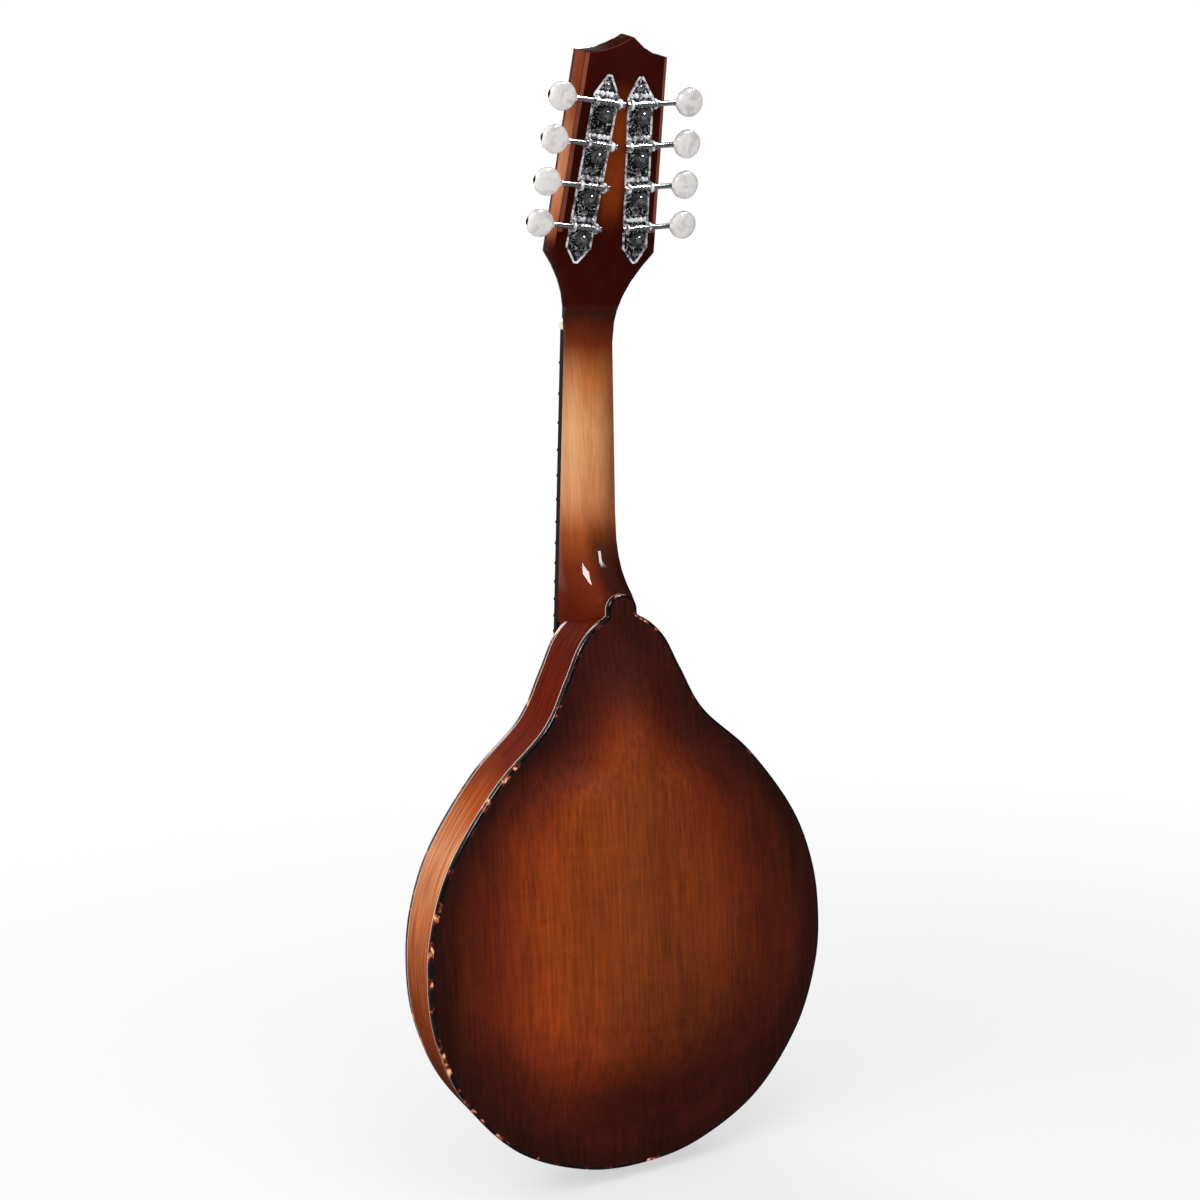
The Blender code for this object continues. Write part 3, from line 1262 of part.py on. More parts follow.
# Tailpiece: a bent plate over the body's end, its hooks and its sliding cover
TAIL_LINE = (
    Vector((0, -HALF_DEPTH - TAIL_PLATE_FRONT, BODY_TAIL)),
    Vector((0, -HALF_DEPTH - TAIL_PLATE_LIFT, BODY_TAIL + TAIL_PLATE_RISE)),
)
tail_run = (TAIL_LINE[1] - TAIL_LINE[0]).normalized()
tail_out = Vector((0, -tail_run.z, tail_run.y))
tail_length = (TAIL_LINE[1] - TAIL_LINE[0]).length
TAIL_FRAME = Matrix((
    (1, 0, 0, 0),
    (0, tail_out.y, tail_run.y, TAIL_LINE[0].y),
    (0, tail_out.z, tail_run.z, TAIL_LINE[0].z),
    (0, 0, 0, 1),
))
LEG_Z = BODY_TAIL - CLEARANCE - TAIL_PLATE_THICKNESS


def tail_width(share):
    """Half width of the plate along its upper leg."""
    return TAIL_PLATE_WIDTH / 2 * (1 - 0.12 * math.sin(share * math.pi))


tail = bmesh.new()
thick = TAIL_PLATE_THICKNESS
path = [
    (Vector((0, -HALF_DEPTH + TAIL_LEG_LENGTH, LEG_Z + thick / 2)), Vector((0, 0, -1)), 0.55),
    (Vector((0, -HALF_DEPTH + TAIL_LEG_LENGTH * 0.75, LEG_Z + thick / 2)), Vector((0, 0, -1)), 0.95),
    (Vector((0, -HALF_DEPTH + 0.001, LEG_Z + thick / 2)), Vector((0, 0, -1)), 1.0),
    (Vector((0, -HALF_DEPTH - TAIL_PLATE_FRONT * 0.7, LEG_Z + thick * 0.9)), Vector((0, -0.5, -0.86)), 1.0),
    (Vector((0, -HALF_DEPTH - TAIL_PLATE_FRONT * 1.15, BODY_TAIL + 0.0015)), Vector((0, -0.95, -0.3)), 1.0),
]
for share in (0.15, 0.4, 0.7, 1.0):
    path.append((TAIL_LINE[0].lerp(TAIL_LINE[1], share), tail_out, tail_width(share) * 2 / TAIL_PLATE_WIDTH))
tail_sections = []
for point, outward, width_share in path:
    half = TAIL_PLATE_WIDTH / 2 * width_share
    rise = outward.normalized() * thick / 2
    tail_sections.append([
        point + Vector((-half, 0, 0)) - rise, point + Vector((half, 0, 0)) - rise,
        point + Vector((half, 0, 0)) + rise, point + Vector((-half, 0, 0)) + rise,
    ])
loft(tail, tail_sections)
tailpiece = node("tailpiece", tail, CHROME)
hooks = bmesh.new()
HOOK_Z = tail_length - HOOK_SET_BACK


def hook_x(index):
    return (index - (len(STRINGS) - 1) / 2) * HOOK_SPACING


for index in range(len(STRINGS)):
    prism(hooks, circle(HOOK_RADIUS, 6, (hook_x(index), HOOK_Z)), 0.0, thick / 2 + HOOK_HEIGHT,
          lambda u, v, height: TAIL_FRAME @ Vector((u, height, v)))
combine(tailpiece, guide("tail_hooks", hooks), "UNION")

# The end pin, driven through the tailpiece and the ribs into the tail block
pin = bmesh.new()
pin_profile = (
    (PIN_HEAD_RADIUS * 0.82, 0.0), (PIN_HEAD_RADIUS, 0.0012), (PIN_HEAD_RADIUS, 0.0024),
    (PIN_NECK_RADIUS, 0.0042), (PIN_NECK_RADIUS * 1.15, LEG_Z - CLEARANCE),
    (PIN_SHANK_RADIUS, LEG_Z - CLEARANCE), (PIN_SHANK_RADIUS * 0.9, LEG_Z + PIN_SHANK_LENGTH),
)
turned(pin, pin_profile, 12, along_z)
node("end_pin", pin, BLACK_PLASTIC)
pin_hole = bmesh.new()
prism(pin_hole, circle(PIN_SHANK_RADIUS + 1.5 * CLEARANCE, 12), BODY_TAIL - 0.005,
      LEG_Z + PIN_SHANK_LENGTH + CLEARANCE, along_z)
pin_cut = guide("pin_hole", pin_hole)
for piece in (tailpiece, ribs, tail_block):
    combine(piece, pin_cut, "DIFFERENCE")

# Domed cover that slides off towards the tail
COVER_START, COVER_END = -0.0035, tail_length + 0.002
COVER_SEAT = thick / 2 + CLEARANCE
cover_half = TAIL_PLATE_WIDTH / 2 + CLEARANCE + COVER_WALL


def cover_section(z, grow, height):
    """A shallow hood across the plate."""
    half = cover_half + grow
    top = height + grow
    return [
        (-half, COVER_SEAT), (-half, COVER_SEAT + top * 0.55), (-half * 0.86, COVER_SEAT + top * 0.86),
        (-half * 0.4, COVER_SEAT + top), (half * 0.4, COVER_SEAT + top),
        (half * 0.86, COVER_SEAT + top * 0.86), (half, COVER_SEAT + top * 0.55), (half, COVER_SEAT),
    ], z


def cover_solid(grow, floor, low, high):
    bm = bmesh.new()
    rows_cover = []
    for share in (0.0, 0.25, 1.0):
        height = COVER_HEIGHT * (0.62 + 0.38 * min(share * 3, 1.0))
        ring, z = cover_section(blend(low, high, share), grow, height)
        ring[0], ring[-1] = (ring[0][0], floor), (ring[-1][0], floor)
        rows_cover.append([TAIL_FRAME @ Vector((x, y, z)) for x, y in ring])
    loft(bm, rows_cover)
    return bm


tailpiece_cover = node("tailpiece_cover", cover_solid(0.0, COVER_SEAT, COVER_START, COVER_END), CHROME)
hollow = cover_solid(-COVER_WALL, -0.004, COVER_START + COVER_WALL, COVER_END + 0.004)
combine(tailpiece_cover, guide("cover_hollow", hollow), "DIFFERENCE")


# Strings, each from its hook over the bridge and the nut to its post
def string_route(index):
    """Points of one string and the mesh's diameter; each coil is a helix about its post."""
    _, diameter, at_nut, at_bridge = STRINGS[index]
    radius = diameter / 2
    side = -1 if index < len(STRINGS) / 2 else 1
    from_edge = index if side < 0 else len(STRINGS) - 1 - index
    points = []
    hook = Vector((hook_x(index), thick / 2 + HOOK_HEIGHT * 0.5, HOOK_Z + HOOK_RADIUS + radius + CLEARANCE))
    points.append(TAIL_FRAME @ hook)
    bridge_y = STRING_UNDERSIDE_Y - radius
    flat = SADDLE_THICKNESS[1] / 2 + 0.0002
    points += [Vector((at_bridge, bridge_y, BRIDGE_Z - flat)), Vector((at_bridge, bridge_y, BRIDGE_Z + flat))]
    nut_y = -STRING_OVER_NUT - radius
    points += [neck_point(at_nut, nut_y, -0.0002), neck_point(at_nut, nut_y, NUT_THICKNESS + 0.0008)]
    centre_x, centre_s = tuner_place(side, from_edge, -GEAR_OFFSET)
    coil_radius = POST_RADIUS + radius + 2 * CLEARANCE
    pitch = diameter + COIL_GAP
    height = OVERLAY_FACE - COIL_START_HEIGHT
    for i in range(int(COIL_TURNS * COIL_STEPS) + 1):
        turn = math.pi - 2 * math.pi * i / COIL_STEPS
        x = centre_x + side * coil_radius * math.cos(turn)
        s = centre_s + coil_radius * math.sin(turn)
        points.append(HEAD_FRAME @ Vector((x, height + pitch * i / COIL_STEPS, s)))
    return points, radius


for index, (name, diameter, _, _) in enumerate(STRINGS):
    route, radius = string_route(index)
    curve = bpy.data.curves.new(name, "CURVE")
    curve.dimensions = "3D"
    curve.bevel_depth = radius
    curve.bevel_resolution = 1
    curve.use_fill_caps = True
    spline = curve.splines.new("POLY")
    spline.points.add(len(route) - 1)
    for slot, point in zip(spline.points, route):
        slot.co = (*point, 1.0)
    curve.materials.append(STEEL if diameter < 0.0005 else BRONZE)
    string = bpy.data.objects.new(name, curve)
    bpy.context.collection.objects.link(string)
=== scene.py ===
from math import cos, hypot, pi, radians, sin

import bmesh
import bpy
import numpy as np
from mathutils import Matrix, Vector


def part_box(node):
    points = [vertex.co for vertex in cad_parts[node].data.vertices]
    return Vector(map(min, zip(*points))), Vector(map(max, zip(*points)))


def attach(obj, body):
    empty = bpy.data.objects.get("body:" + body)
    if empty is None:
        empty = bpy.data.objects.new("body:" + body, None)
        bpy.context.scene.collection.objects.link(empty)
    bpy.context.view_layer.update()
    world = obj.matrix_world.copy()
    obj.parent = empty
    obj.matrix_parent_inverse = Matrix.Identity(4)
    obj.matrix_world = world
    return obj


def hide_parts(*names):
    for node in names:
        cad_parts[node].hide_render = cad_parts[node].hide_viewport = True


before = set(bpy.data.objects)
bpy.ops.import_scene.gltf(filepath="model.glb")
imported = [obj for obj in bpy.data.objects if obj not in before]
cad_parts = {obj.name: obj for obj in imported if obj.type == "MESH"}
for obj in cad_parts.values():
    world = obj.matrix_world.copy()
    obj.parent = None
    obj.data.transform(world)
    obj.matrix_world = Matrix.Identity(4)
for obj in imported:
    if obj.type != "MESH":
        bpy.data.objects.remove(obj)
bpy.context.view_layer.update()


# The studio: a pale floor under an even white sky, with large soft lamps.
# The camera stands behind the instrument, a little to its treble side.
class Level:
    """An output among a finish's nodes, for sums written as Python expressions."""

    def __init__(self, finish, socket):
        self.finish = finish
        self.socket = socket

    def work(self, operation, first, second):
        return self.finish.node("ShaderNodeMath", {"operation": operation}, {0: first, 1: second})

    def __add__(self, other):
        return self.work("ADD", self, other)

    def __sub__(self, other):
        return self.work("SUBTRACT", self, other)

    def __rsub__(self, other):
        return self.work("SUBTRACT", other, self)

    def __mul__(self, other):
        return self.work("MULTIPLY", self, other)

    def __gt__(self, other):
        return self.work("GREATER_THAN", self, other)

    def __lt__(self, other):
        return self.work("LESS_THAN", self, other)

    __radd__ = __add__
    __rmul__ = __mul__


def paint(code):
    """A colour from its six-digit code, as light."""
    parts = [int(code[i:i + 2], 16) / 255 for i in (0, 2, 4)]
    return [p / 12.92 if p <= 0.04045 else ((p + 0.055) / 1.055) ** 2.4 for p in parts] + [1.0]


class Finish:
    """The nodes of a material, or of the sky, which are added one by one."""

    def __init__(self, owner, shader="Principled BSDF", **plain):
        self.material = bpy.data.materials.new(owner) if isinstance(owner, str) else owner
        self.material.use_nodes = True
        self.tree = self.material.node_tree
        self.shader = self.tree.nodes[shader]
        for socket, value in plain.items():
            self.put(socket.replace("_", " ").title().replace("Ior", "IOR"), value)

    def put(self, socket, value):
        """Give one of the shader's sockets a plain value or a link."""
        if isinstance(value, Level):
            self.tree.links.new(value.socket, self.shader.inputs[socket])
        else:
            self.shader.inputs[socket].default_value = value

    def node(self, kind, settings, values, output=0):
        """Any node: its settings first, then the values or links of its sockets."""
        made = self.tree.nodes.new(kind)
        for setting, value in settings.items():
            if setting == "stops":
                while len(made.color_ramp.elements) < len(value):
                    made.color_ramp.elements.new(0.5)
                for element, (position, code) in zip(made.color_ramp.elements, value):
                    element.position = position
                    element.color = paint(code)
            else:
                setattr(made, setting, value)
        for socket, value in values.items():
            if isinstance(value, Level):
                self.tree.links.new(value.socket, made.inputs[socket])
            else:
                made.inputs[socket].default_value = value
        return Level(self, made.outputs[output])

    def place(self, stretch=(1, 1, 1), location=(0, 0, 0), turn=(0, 0, 0)):
        """Object coordinates, stretched, or seen from a turned frame."""
        where = self.node("ShaderNodeTexCoord", {}, {}, 3)
        if turn != (0, 0, 0) or location != (0, 0, 0):
            values = {"Vector": where, "Location": location, "Rotation": turn}
            where = self.node("ShaderNodeMapping", {"vector_type": "TEXTURE"}, values)
        if stretch != (1, 1, 1):
            where = self.node("ShaderNodeMapping", {}, {"Vector": where, "Scale": stretch})
        return where

    def axis(self, vector, index):
        return self.node("ShaderNodeSeparateXYZ", {}, {0: vector}, index)

    def noise(self, vector, scale, detail=3.0, distortion=0.0):
        values = {"Vector": vector, "Scale": scale, "Detail": detail, "Distortion": distortion}
        return self.node("ShaderNodeTexNoise", {}, values)

    def ramp(self, level, stops):
        return self.node("ShaderNodeValToRGB", {"stops": stops}, {0: level})

    def fade(self, level, start, end):
        """A smooth step from 0 at start to 1 at end."""
        values = {0: level, 1: start, 2: end}
        return self.node("ShaderNodeMapRange", {"interpolation_type": "SMOOTHSTEP"}, values)

    def mix(self, share, first, second, way="MIX"):
        settings = {"data_type": "RGBA", "blend_type": way}
        return self.node("ShaderNodeMix", settings, {0: share, 6: first, 7: second}, 2)

    def relief(self, height, depth, strength=1.0):
        """A bump of a real depth, fed to the shader's normal."""
        values = {"Height": height, "Distance": depth, "Strength": strength}
        self.put("Normal", self.node("ShaderNodeBump", {}, values))


def cleared():
    if bpy.context.object and bpy.context.object.mode == "EDIT":
        bpy.ops.object.mode_set(mode="OBJECT")
    bpy.ops.object.select_all(action="DESELECT")


cleared()
bpy.ops.mesh.primitive_plane_add(size=30, location=(0, 0, 0))
floor = bpy.context.object
floor.name = "studio_floor"
floor_finish = Finish("studio_floor", base_color=paint("e6e6e6"), roughness=0.9)
FLOOR_GLOW, FLOOR_MIRRORED = 0.55, 0.85
SHADOW_REACH, WHITE_BEYOND = 0.35, 1.1
seen = floor_finish.node("ShaderNodeLightPath", {}, {}, 0)
mirrored = floor_finish.node("ShaderNodeLightPath", {}, {}, 3)
away = floor_finish.node("ShaderNodeVectorMath", {"operation": "LENGTH"}, {0: floor_finish.place()}, 1)
far_off = floor_finish.fade(away, SHADOW_REACH, WHITE_BEYOND)
white = seen * (FLOOR_GLOW + far_off * (1 - FLOOR_GLOW))
glow = floor_finish.node("ShaderNodeEmission", {}, {"Color": (1, 1, 1, 1), "Strength": 1.0})
dim = floor_finish.node("ShaderNodeEmission", {}, {"Color": (1, 1, 1, 1), "Strength": 0.05})
shown = Level(floor_finish, floor_finish.shader.outputs[0])
shown = floor_finish.node("ShaderNodeMixShader", {}, {0: white, 1: shown, 2: glow})
shown = floor_finish.node("ShaderNodeMixShader", {}, {0: mirrored * FLOOR_MIRRORED, 1: shown, 2: dim})
floor_finish.tree.links.new(shown.socket, floor_finish.tree.nodes["Material Output"].inputs[0])
floor.data.materials.append(floor_finish.material)

SKY_LIGHT, SKY_MIRRORED = 0.42, 0.05
sky = Finish(bpy.data.worlds.new("studio_sky"), "Background", color=(1, 1, 1, 1))
bpy.context.scene.world = sky.material
to_camera = sky.node("ShaderNodeLightPath", {}, {}, 0)
to_gloss = sky.node("ShaderNodeLightPath", {}, {}, 3)
sky.put("Strength", SKY_LIGHT + to_camera * (1 - SKY_LIGHT) - to_gloss * (SKY_LIGHT - SKY_MIRRORED))

# Three broad lamps behind light the colours alone, the gloss lamps show in gloss alone,
# and the one in front does both, for views of the strings' side.
LAMPS_AIM = Vector((0, 0, 0.33))
for lamp_name, place, width, height, power, in_colour, in_gloss in (
    ("lamp_left", (1.62, 0.53, 1.15), 1.9, 1.9, 27, True, False),
    ("lamp_right", (-0.58, 1.80, 0.90), 1.5, 1.5, 8, True, False),
    ("lamp_above", (0.34, 0.94, 2.00), 1.4, 1.4, 10, True, False),
    ("lamp_front", (-0.31, -1.77, 1.20), 1.2, 1.2, 16, True, True),
    ("gloss_above", (-0.32, 0.99, 1.60), 0.30, 0.95, 36, False, True),
    ("gloss_left", (1.27, 0.13, 1.28), 0.46, 0.46, 30, False, True),
    ("gloss_high", (-0.80, 0.60, 2.00), 1.30, 0.30, 34, False, True),
    ("gloss_front", (0.10, -1.50, 0.60), 2.20, 1.80, 5, False, True),
):
    lamp = bpy.data.objects.new(lamp_name, bpy.data.lights.new(lamp_name, "AREA"))
    lamp.data.shape = "RECTANGLE"
    lamp.data.size = width
    lamp.data.size_y = height
    lamp.data.energy = power
    lamp.location = place
    lamp.rotation_euler = (lamp.location - LAMPS_AIM).to_track_quat("Z", "Y").to_euler()
    lamp.visible_diffuse = in_colour
    lamp.visible_glossy = in_gloss
    lamp.visible_camera = False
    bpy.context.collection.objects.link(lamp)

CAMERA_AT = Vector((0.414, 0.8521, 0.472))
CAMERA_AIM = Vector((0.0043, 0.0, 0.356))
CAMERA_ROLL = radians(-2.29)
ahead = (CAMERA_AIM - CAMERA_AT).normalized()
level_right = ahead.cross(Vector((0, 0, 1))).normalized()
level_up = level_right.cross(ahead)
right = level_right * cos(CAMERA_ROLL) + level_up * sin(CAMERA_ROLL)
up = level_up * cos(CAMERA_ROLL) - level_right * sin(CAMERA_ROLL)
camera = bpy.data.objects.new("camera", bpy.data.cameras.new("camera"))
camera.data.lens = 47.6
camera.data.sensor_width = 36.0
camera.data.clip_start = 0.05
camera.matrix_world = Matrix.Translation(CAMERA_AT) @ Matrix((right, up, -ahead)).transposed().to_4x4()
bpy.context.collection.objects.link(camera)
bpy.context.scene.camera = camera
bpy.context.scene.view_settings.view_transform = "Standard"


# The back is one book-matched pair of mahogany boards, carved from a flat rim to a low arch.
# It carries a round tab over the heel, and is sprayed in a brown sunburst under satin lacquer, with painted
# shade on its bass side and along its rims.
BODY_LENGTH, BODY_WIDTH, BODY_DEPTH = 0.341, 0.2638, 0.0432
BODY_TAIL = 0.008
BODY_TOP = BODY_TAIL + BODY_LENGTH
HALF_DEPTH = BODY_DEPTH / 2
PLATE_EDGE, PLATE_THICKNESS = 0.0045, 0.004
BACK_ARCH, TOP_ARCH, FLAT_RIM = 0.014, 0.016, 0.010
BINDING_WIDTH = 0.002
SPINE_LOW, SPINE_HIGH = BODY_TAIL + 0.32 * BODY_LENGTH, BODY_TAIL + 0.69 * BODY_LENGTH
TAB_HALF, TAB_LENGTH, TAB_ROOT = 0.0095, 0.012, 0.0012
ROOT_CURVE = ((0.0004, 0.0005), (0.0, 0.0013))
OUTLINE_STATIONS = (
    (0.0, 0.0), (0.3, 0.016), (0.62, 0.078), (0.86, 0.187), (0.977, 0.305), (1.0, 0.41),
    (0.965, 0.51), (0.86, 0.612), (0.64, 0.728), (0.4, 0.815), (0.285, 0.895),
    (0.205, 0.955), (0.105, 0.991), (0.0, 1.0),
)


def eased(a, b, c, d, t):
    """A point between b and c of a smooth curve through four stations."""
    return tuple(
        0.5 * (2 * q + (r - p) * t + (2 * p - 5 * q + 4 * r - s) * t**2 + (3 * q - p - 3 * r + s) * t**3)
        for p, q, r, s in zip(a, b, c, d)
    )


def smooth_half(stations, steps=12):
    """Half an outline whose two ends lie on the middle line."""
    run = [(-stations[1][0], stations[1][1]), *stations, (-stations[-2][0], stations[-2][1])]
    points = [eased(*four, i / steps) for four in zip(run, run[1:], run[2:], run[3:]) for i in range(steps)]
    return points + [stations[-1]]


def whole(half):
    return half + [(-x, z) for x, z in reversed(half[1:-1])]


def inset(points, width):
    """The outline moved inwards, square to each of its sides."""
    moved = []
    for before, here, after in zip(points[-1:] + points[:-1], points, points[1:] + points[:1]):
        first = Vector((before[1] - here[1], here[0] - before[0])).normalized()
        second = Vector((here[1] - after[1], after[0] - here[0])).normalized()
        middle = (first + second).normalized()
        shift = middle * (width / middle.dot(first))
        moved.append((here[0] + shift.x, here[1] + shift.y))
    return moved


half_body = smooth_half([(x * BODY_WIDTH / 2, BODY_TAIL + z * BODY_LENGTH) for x, z in OUTLINE_STATIONS])
BODY_OUTLINE = whole(half_body)


def shoulder(x):
    """Height of the body's upper edge at a distance from the middle."""
    high = [(px, pz) for px, pz in half_body if pz > SPINE_HIGH]
    return float(np.interp(x, [p[0] for p in high][::-1], [p[1] for p in high][::-1]))


tab_tip = BODY_TOP + TAB_LENGTH
tabbed = [p for p in half_body if p[1] < SPINE_HIGH or p[0] > TAB_HALF + TAB_ROOT]
tabbed += [(TAB_HALF + out, shoulder(TAB_HALF) + rise) for out, rise in ROOT_CURVE]
tabbed += [
    (TAB_HALF * cos(radians(a)), tab_tip - TAB_HALF + TAB_HALF * sin(radians(a))) for a in range(0, 90, 9)
]
tabbed.append((0.0, tab_tip))
BACK_OUTLINE = whole(tabbed)
outline_x, outline_z = (np.array([p[k] for p in BODY_OUTLINE]) for k in (0, 1))
outline_dx, outline_dz = (np.roll(a, -1) - a for a in (outline_x, outline_z))


def arch_share(x, z):
    """How far the carving has risen: 0 on the flat rim, 1 along the middle."""
    centre = min(max(z, SPINE_LOW), SPINE_HIGH)
    radius = hypot(x, z - centre)
    if radius < 1e-7:
        return 1.0
    dx, dz = x / radius, (z - centre) / radius
    across = dx * outline_dz - dz * outline_dx
    across[np.abs(across) < 1e-12] = 1e-12
    along = (outline_x * outline_dz - (outline_z - centre) * outline_dx) / across
    share = (outline_x * dz - (outline_z - centre) * dx) / across
    hits = along[(share >= -1e-9) & (share <= 1 + 1e-9) & (along > 0)]
    run = float(hits.max()) - FLAT_RIM
    return sin(min(max((run - radius) / run, 0.0), 1.0) * pi / 2) ** 2


def rounded(piece, name, smooth=40, turned_out=True):
    """Name a piece, close its seams and poles, and shade it."""
    cleared()
    piece.name = name
    piece.data.name = name
    piece.select_set(True)
    bpy.context.view_layer.objects.active = piece
    bpy.ops.object.mode_set(mode="EDIT")
    bpy.ops.mesh.select_all(action="SELECT")
    bpy.ops.mesh.remove_doubles(threshold=2e-6)
    if turned_out:
        bpy.ops.mesh.normals_make_consistent(inside=False)
    bpy.ops.object.mode_set(mode="OBJECT")
    bpy.ops.object.shade_smooth_by_angle(angle=radians(smooth))
    return piece


def skinned(name, columns, rows, place, smooth=40):
    """A grid whose every corner is moved to its place on the piece, by two shares from 0 to 1."""
    cleared()
    bpy.ops.mesh.primitive_grid_add(x_subdivisions=columns, y_subdivisions=rows, size=2)
    piece = bpy.context.object
    for corner in piece.data.vertices:
        corner.co = place((corner.co.x + 1) / 2, (corner.co.y + 1) / 2)
    return rounded(piece, name, smooth)


def fitted(piece, body, slot, *nodes):
    """Give a piece its body and the nodes that it stands for."""
    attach(piece, body)
    if nodes:
        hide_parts(*nodes)


def dressed(piece, finish, body, slot, *nodes):
    """Fit a piece that has one finish all over."""
    piece.data.materials.clear()
    piece.data.materials.append(finish.material)
    fitted(piece, body, slot, *nodes)


# A plate's rows run from its middle out over the face, down the edge and back through the hollow.
PLATE_ROWS, PLATE_FACE, EDGE_ROWS = 50, 0.6, 0.06


def carved(name, outline, side, arch):
    """A plate: the outer face from the middle to the edge, then the hollow back to the middle."""
    edge = inset(outline, BINDING_WIDTH)
    count = len(edge)

    def place(u, v):
        x, z = edge[round(u * count) % count]
        if v <= PLATE_FACE:
            share = 1 - v / PLATE_FACE
        else:
            share = max(0.0, ((v - PLATE_FACE) / (1 - PLATE_FACE) - EDGE_ROWS) / (1 - EDGE_ROWS))
        centre = min(max(z, SPINE_LOW), SPINE_HIGH)
        px, pz = x * (1 - share), z + (centre - z) * share
        height = arch * arch_share(px, pz)
        if v > PLATE_FACE:
            height = (arch - PLATE_THICKNESS + PLATE_EDGE) * arch_share(px, pz) - PLATE_EDGE
        return px, side * (HALF_DEPTH + height), pz

    return skinned(name, count, PLATE_ROWS, place, smooth=50)


back = carved("back", BACK_OUTLINE, 1, BACK_ARCH)
back_finish = Finish("back_sunburst", roughness=0.42, specular_ior_level=0.08)
board = back_finish.place((1, 1, 0.05))
broad = back_finish.noise(back_finish.place((1, 1, 0.16)), 34, 3, 0.6)
fibres = back_finish.noise(board, 620, 4)
pores = back_finish.noise(back_finish.place((1, 1, 0.07)), 1300, 2)
across = back_finish.axis(back_finish.place(), 0)
toward_edge = back_finish.axis(back_finish.node("ShaderNodeTexCoord", {}, {}, 2), 1) * (1 / PLATE_FACE)
up_board = back_finish.axis(back_finish.place(), 2)
darker_ends = back_finish.fade(up_board, 0.125, 0.03) * 0.24 + back_finish.fade(up_board, 0.21, 0.33) * 0.22
# Painted shade on top of the sunburst: the treble rim is darkened a little, and the share grows towards the
# bass side, so the bass half reads darker as if lit from the treble side.
treble_rim_painted_shade = back_finish.fade(across, 0.072, 0.098)
patches = back_finish.noise(back_finish.place((1, 1, 0.6)), 13, 2, 0.4)
sunburst_and_painted_shade_share = toward_edge + darker_ends + treble_rim_painted_shade * 0.1 - across * 0.4
sunburst_and_painted_shade_share = sunburst_and_painted_shade_share + (broad - 0.5) * 0.14 + (patches - 0.5) * 0.45
sunburst_and_painted_shade = back_finish.ramp(sunburst_and_painted_shade_share, (
    (0.0, "803a0f"), (0.4, "83340b"), (0.6, "6a2408"), (0.77, "4e1806"), (0.9, "421305"), (1.0, "380f05"),
))
# The lower outer rim is taken nearly black: partly the sunburst's dark edge, partly painted shade.
lower_rim_dark_and_painted_shade = back_finish.fade(toward_edge, 0.84, 0.97) * back_finish.fade(up_board, 0.33, 0.27)
sunburst_and_painted_shade = back_finish.mix(lower_rim_dark_and_painted_shade * 0.5, sunburst_and_painted_shade, paint("1f0a06"))
figure = back_finish.noise(back_finish.place((0.45, 1, 2.2)), 95, 3, 0.8)
grain_and_painted_shade = 0.8 + (broad - 0.5) * 0.8 + (fibres - 0.5) * 1.1 + (figure - 0.5) * 0.3 + (across > 0) * 0.07
grain_and_painted_shade = grain_and_painted_shade - back_finish.fade(pores, 0.58, 0.7) * 0.2
# Painted shade: the middle of the back on the bass side is darkened, more so towards the tail.
back_bass_painted_shade = back_finish.fade(across, 0.055, 0.005) * back_finish.fade(toward_edge, 0.85, 0.55)
grain_and_painted_shade = grain_and_painted_shade * (1 - back_bass_painted_shade * (0.24 + back_finish.fade(up_board, 0.17, 0.08) * 0.28))
back_finish.put("Base Color", back_finish.mix(1.0, sunburst_and_painted_shade, grain_and_painted_shade * 1.22, "MULTIPLY"))
back_finish.relief(pores * -1, 0.00008, 0.4)
dressed(back, back_finish, "instrument", "back_sunburst", "back_plate")


# The ribs are two thin strips of mahogany, bent hot and joined at the tail.
# They are stained red-brown, darker towards the neck and the tail, and the bright band half way up is partly
# painted sheen.
RIB_WALL = 0.0025
STAIN_HEIGHT = 0.36
RIB_EDGE = HALF_DEPTH - PLATE_EDGE


def hooped(name, outline, profile, smooth=40):
    """A closed band round an outline; the profile gives its depth in from the edge, and its Y."""
    rings = {}
    for depth in sorted({p[0] for p in profile}):
        rings[depth] = inset(outline, depth) if depth else outline
    count, size = len(outline), len(profile)

    def place(u, v):
        depth, y = profile[round(v * size) % size]
        x, z = rings[depth][round(u * count) % count]
        return x, y, z

    return skinned(name, count, size, place, smooth)


ribs = hooped("ribs_bent", BODY_OUTLINE, (
    (0.0, -RIB_EDGE), (0.0, RIB_EDGE), (RIB_WALL, RIB_EDGE), (RIB_WALL, -RIB_EDGE),
))
rib_finish = Finish("rib_mahogany", roughness=0.6, specular_ior_level=0.012)
round_body = rib_finish.node("ShaderNodeTexCoord", {}, {}, 2)
along_grain = rib_finish.node("ShaderNodeMapping", {}, {"Vector": round_body, "Scale": (5.0, 11.0, 1.0)})
rib_fibres = rib_finish.noise(along_grain, 5.0, 5)
rib_broad = rib_finish.noise(rib_finish.place((1, 0.6, 0.5)), 40, 2)
rib_height = rib_finish.axis(rib_finish.place(), 2) * (1 / STAIN_HEIGHT) + (rib_broad - 0.5) * 0.08
# The lightest stops, about half way up, are partly the stain and partly painted sheen.
rib_stain_and_painted_sheen = rib_finish.ramp(rib_height, (
    (0.0, "330d05"), (0.2, "4a1805"), (0.33, "7a3313"), (0.5, "ac6038"), (0.6, "c9845c"),
    (0.68, "a24c22"), (0.75, "641b07"), (0.97, "561607"),
))
rib_tone = 0.74 + (rib_fibres - 0.5) * 1.5 + (rib_broad - 0.5) * 0.3
rib_finish.put("Base Color", rib_finish.mix(1.0, rib_stain_and_painted_sheen, rib_tone * 1.3, "MULTIPLY"))
dressed(ribs, rib_finish, "instrument", "rib_mahogany", "ribs")


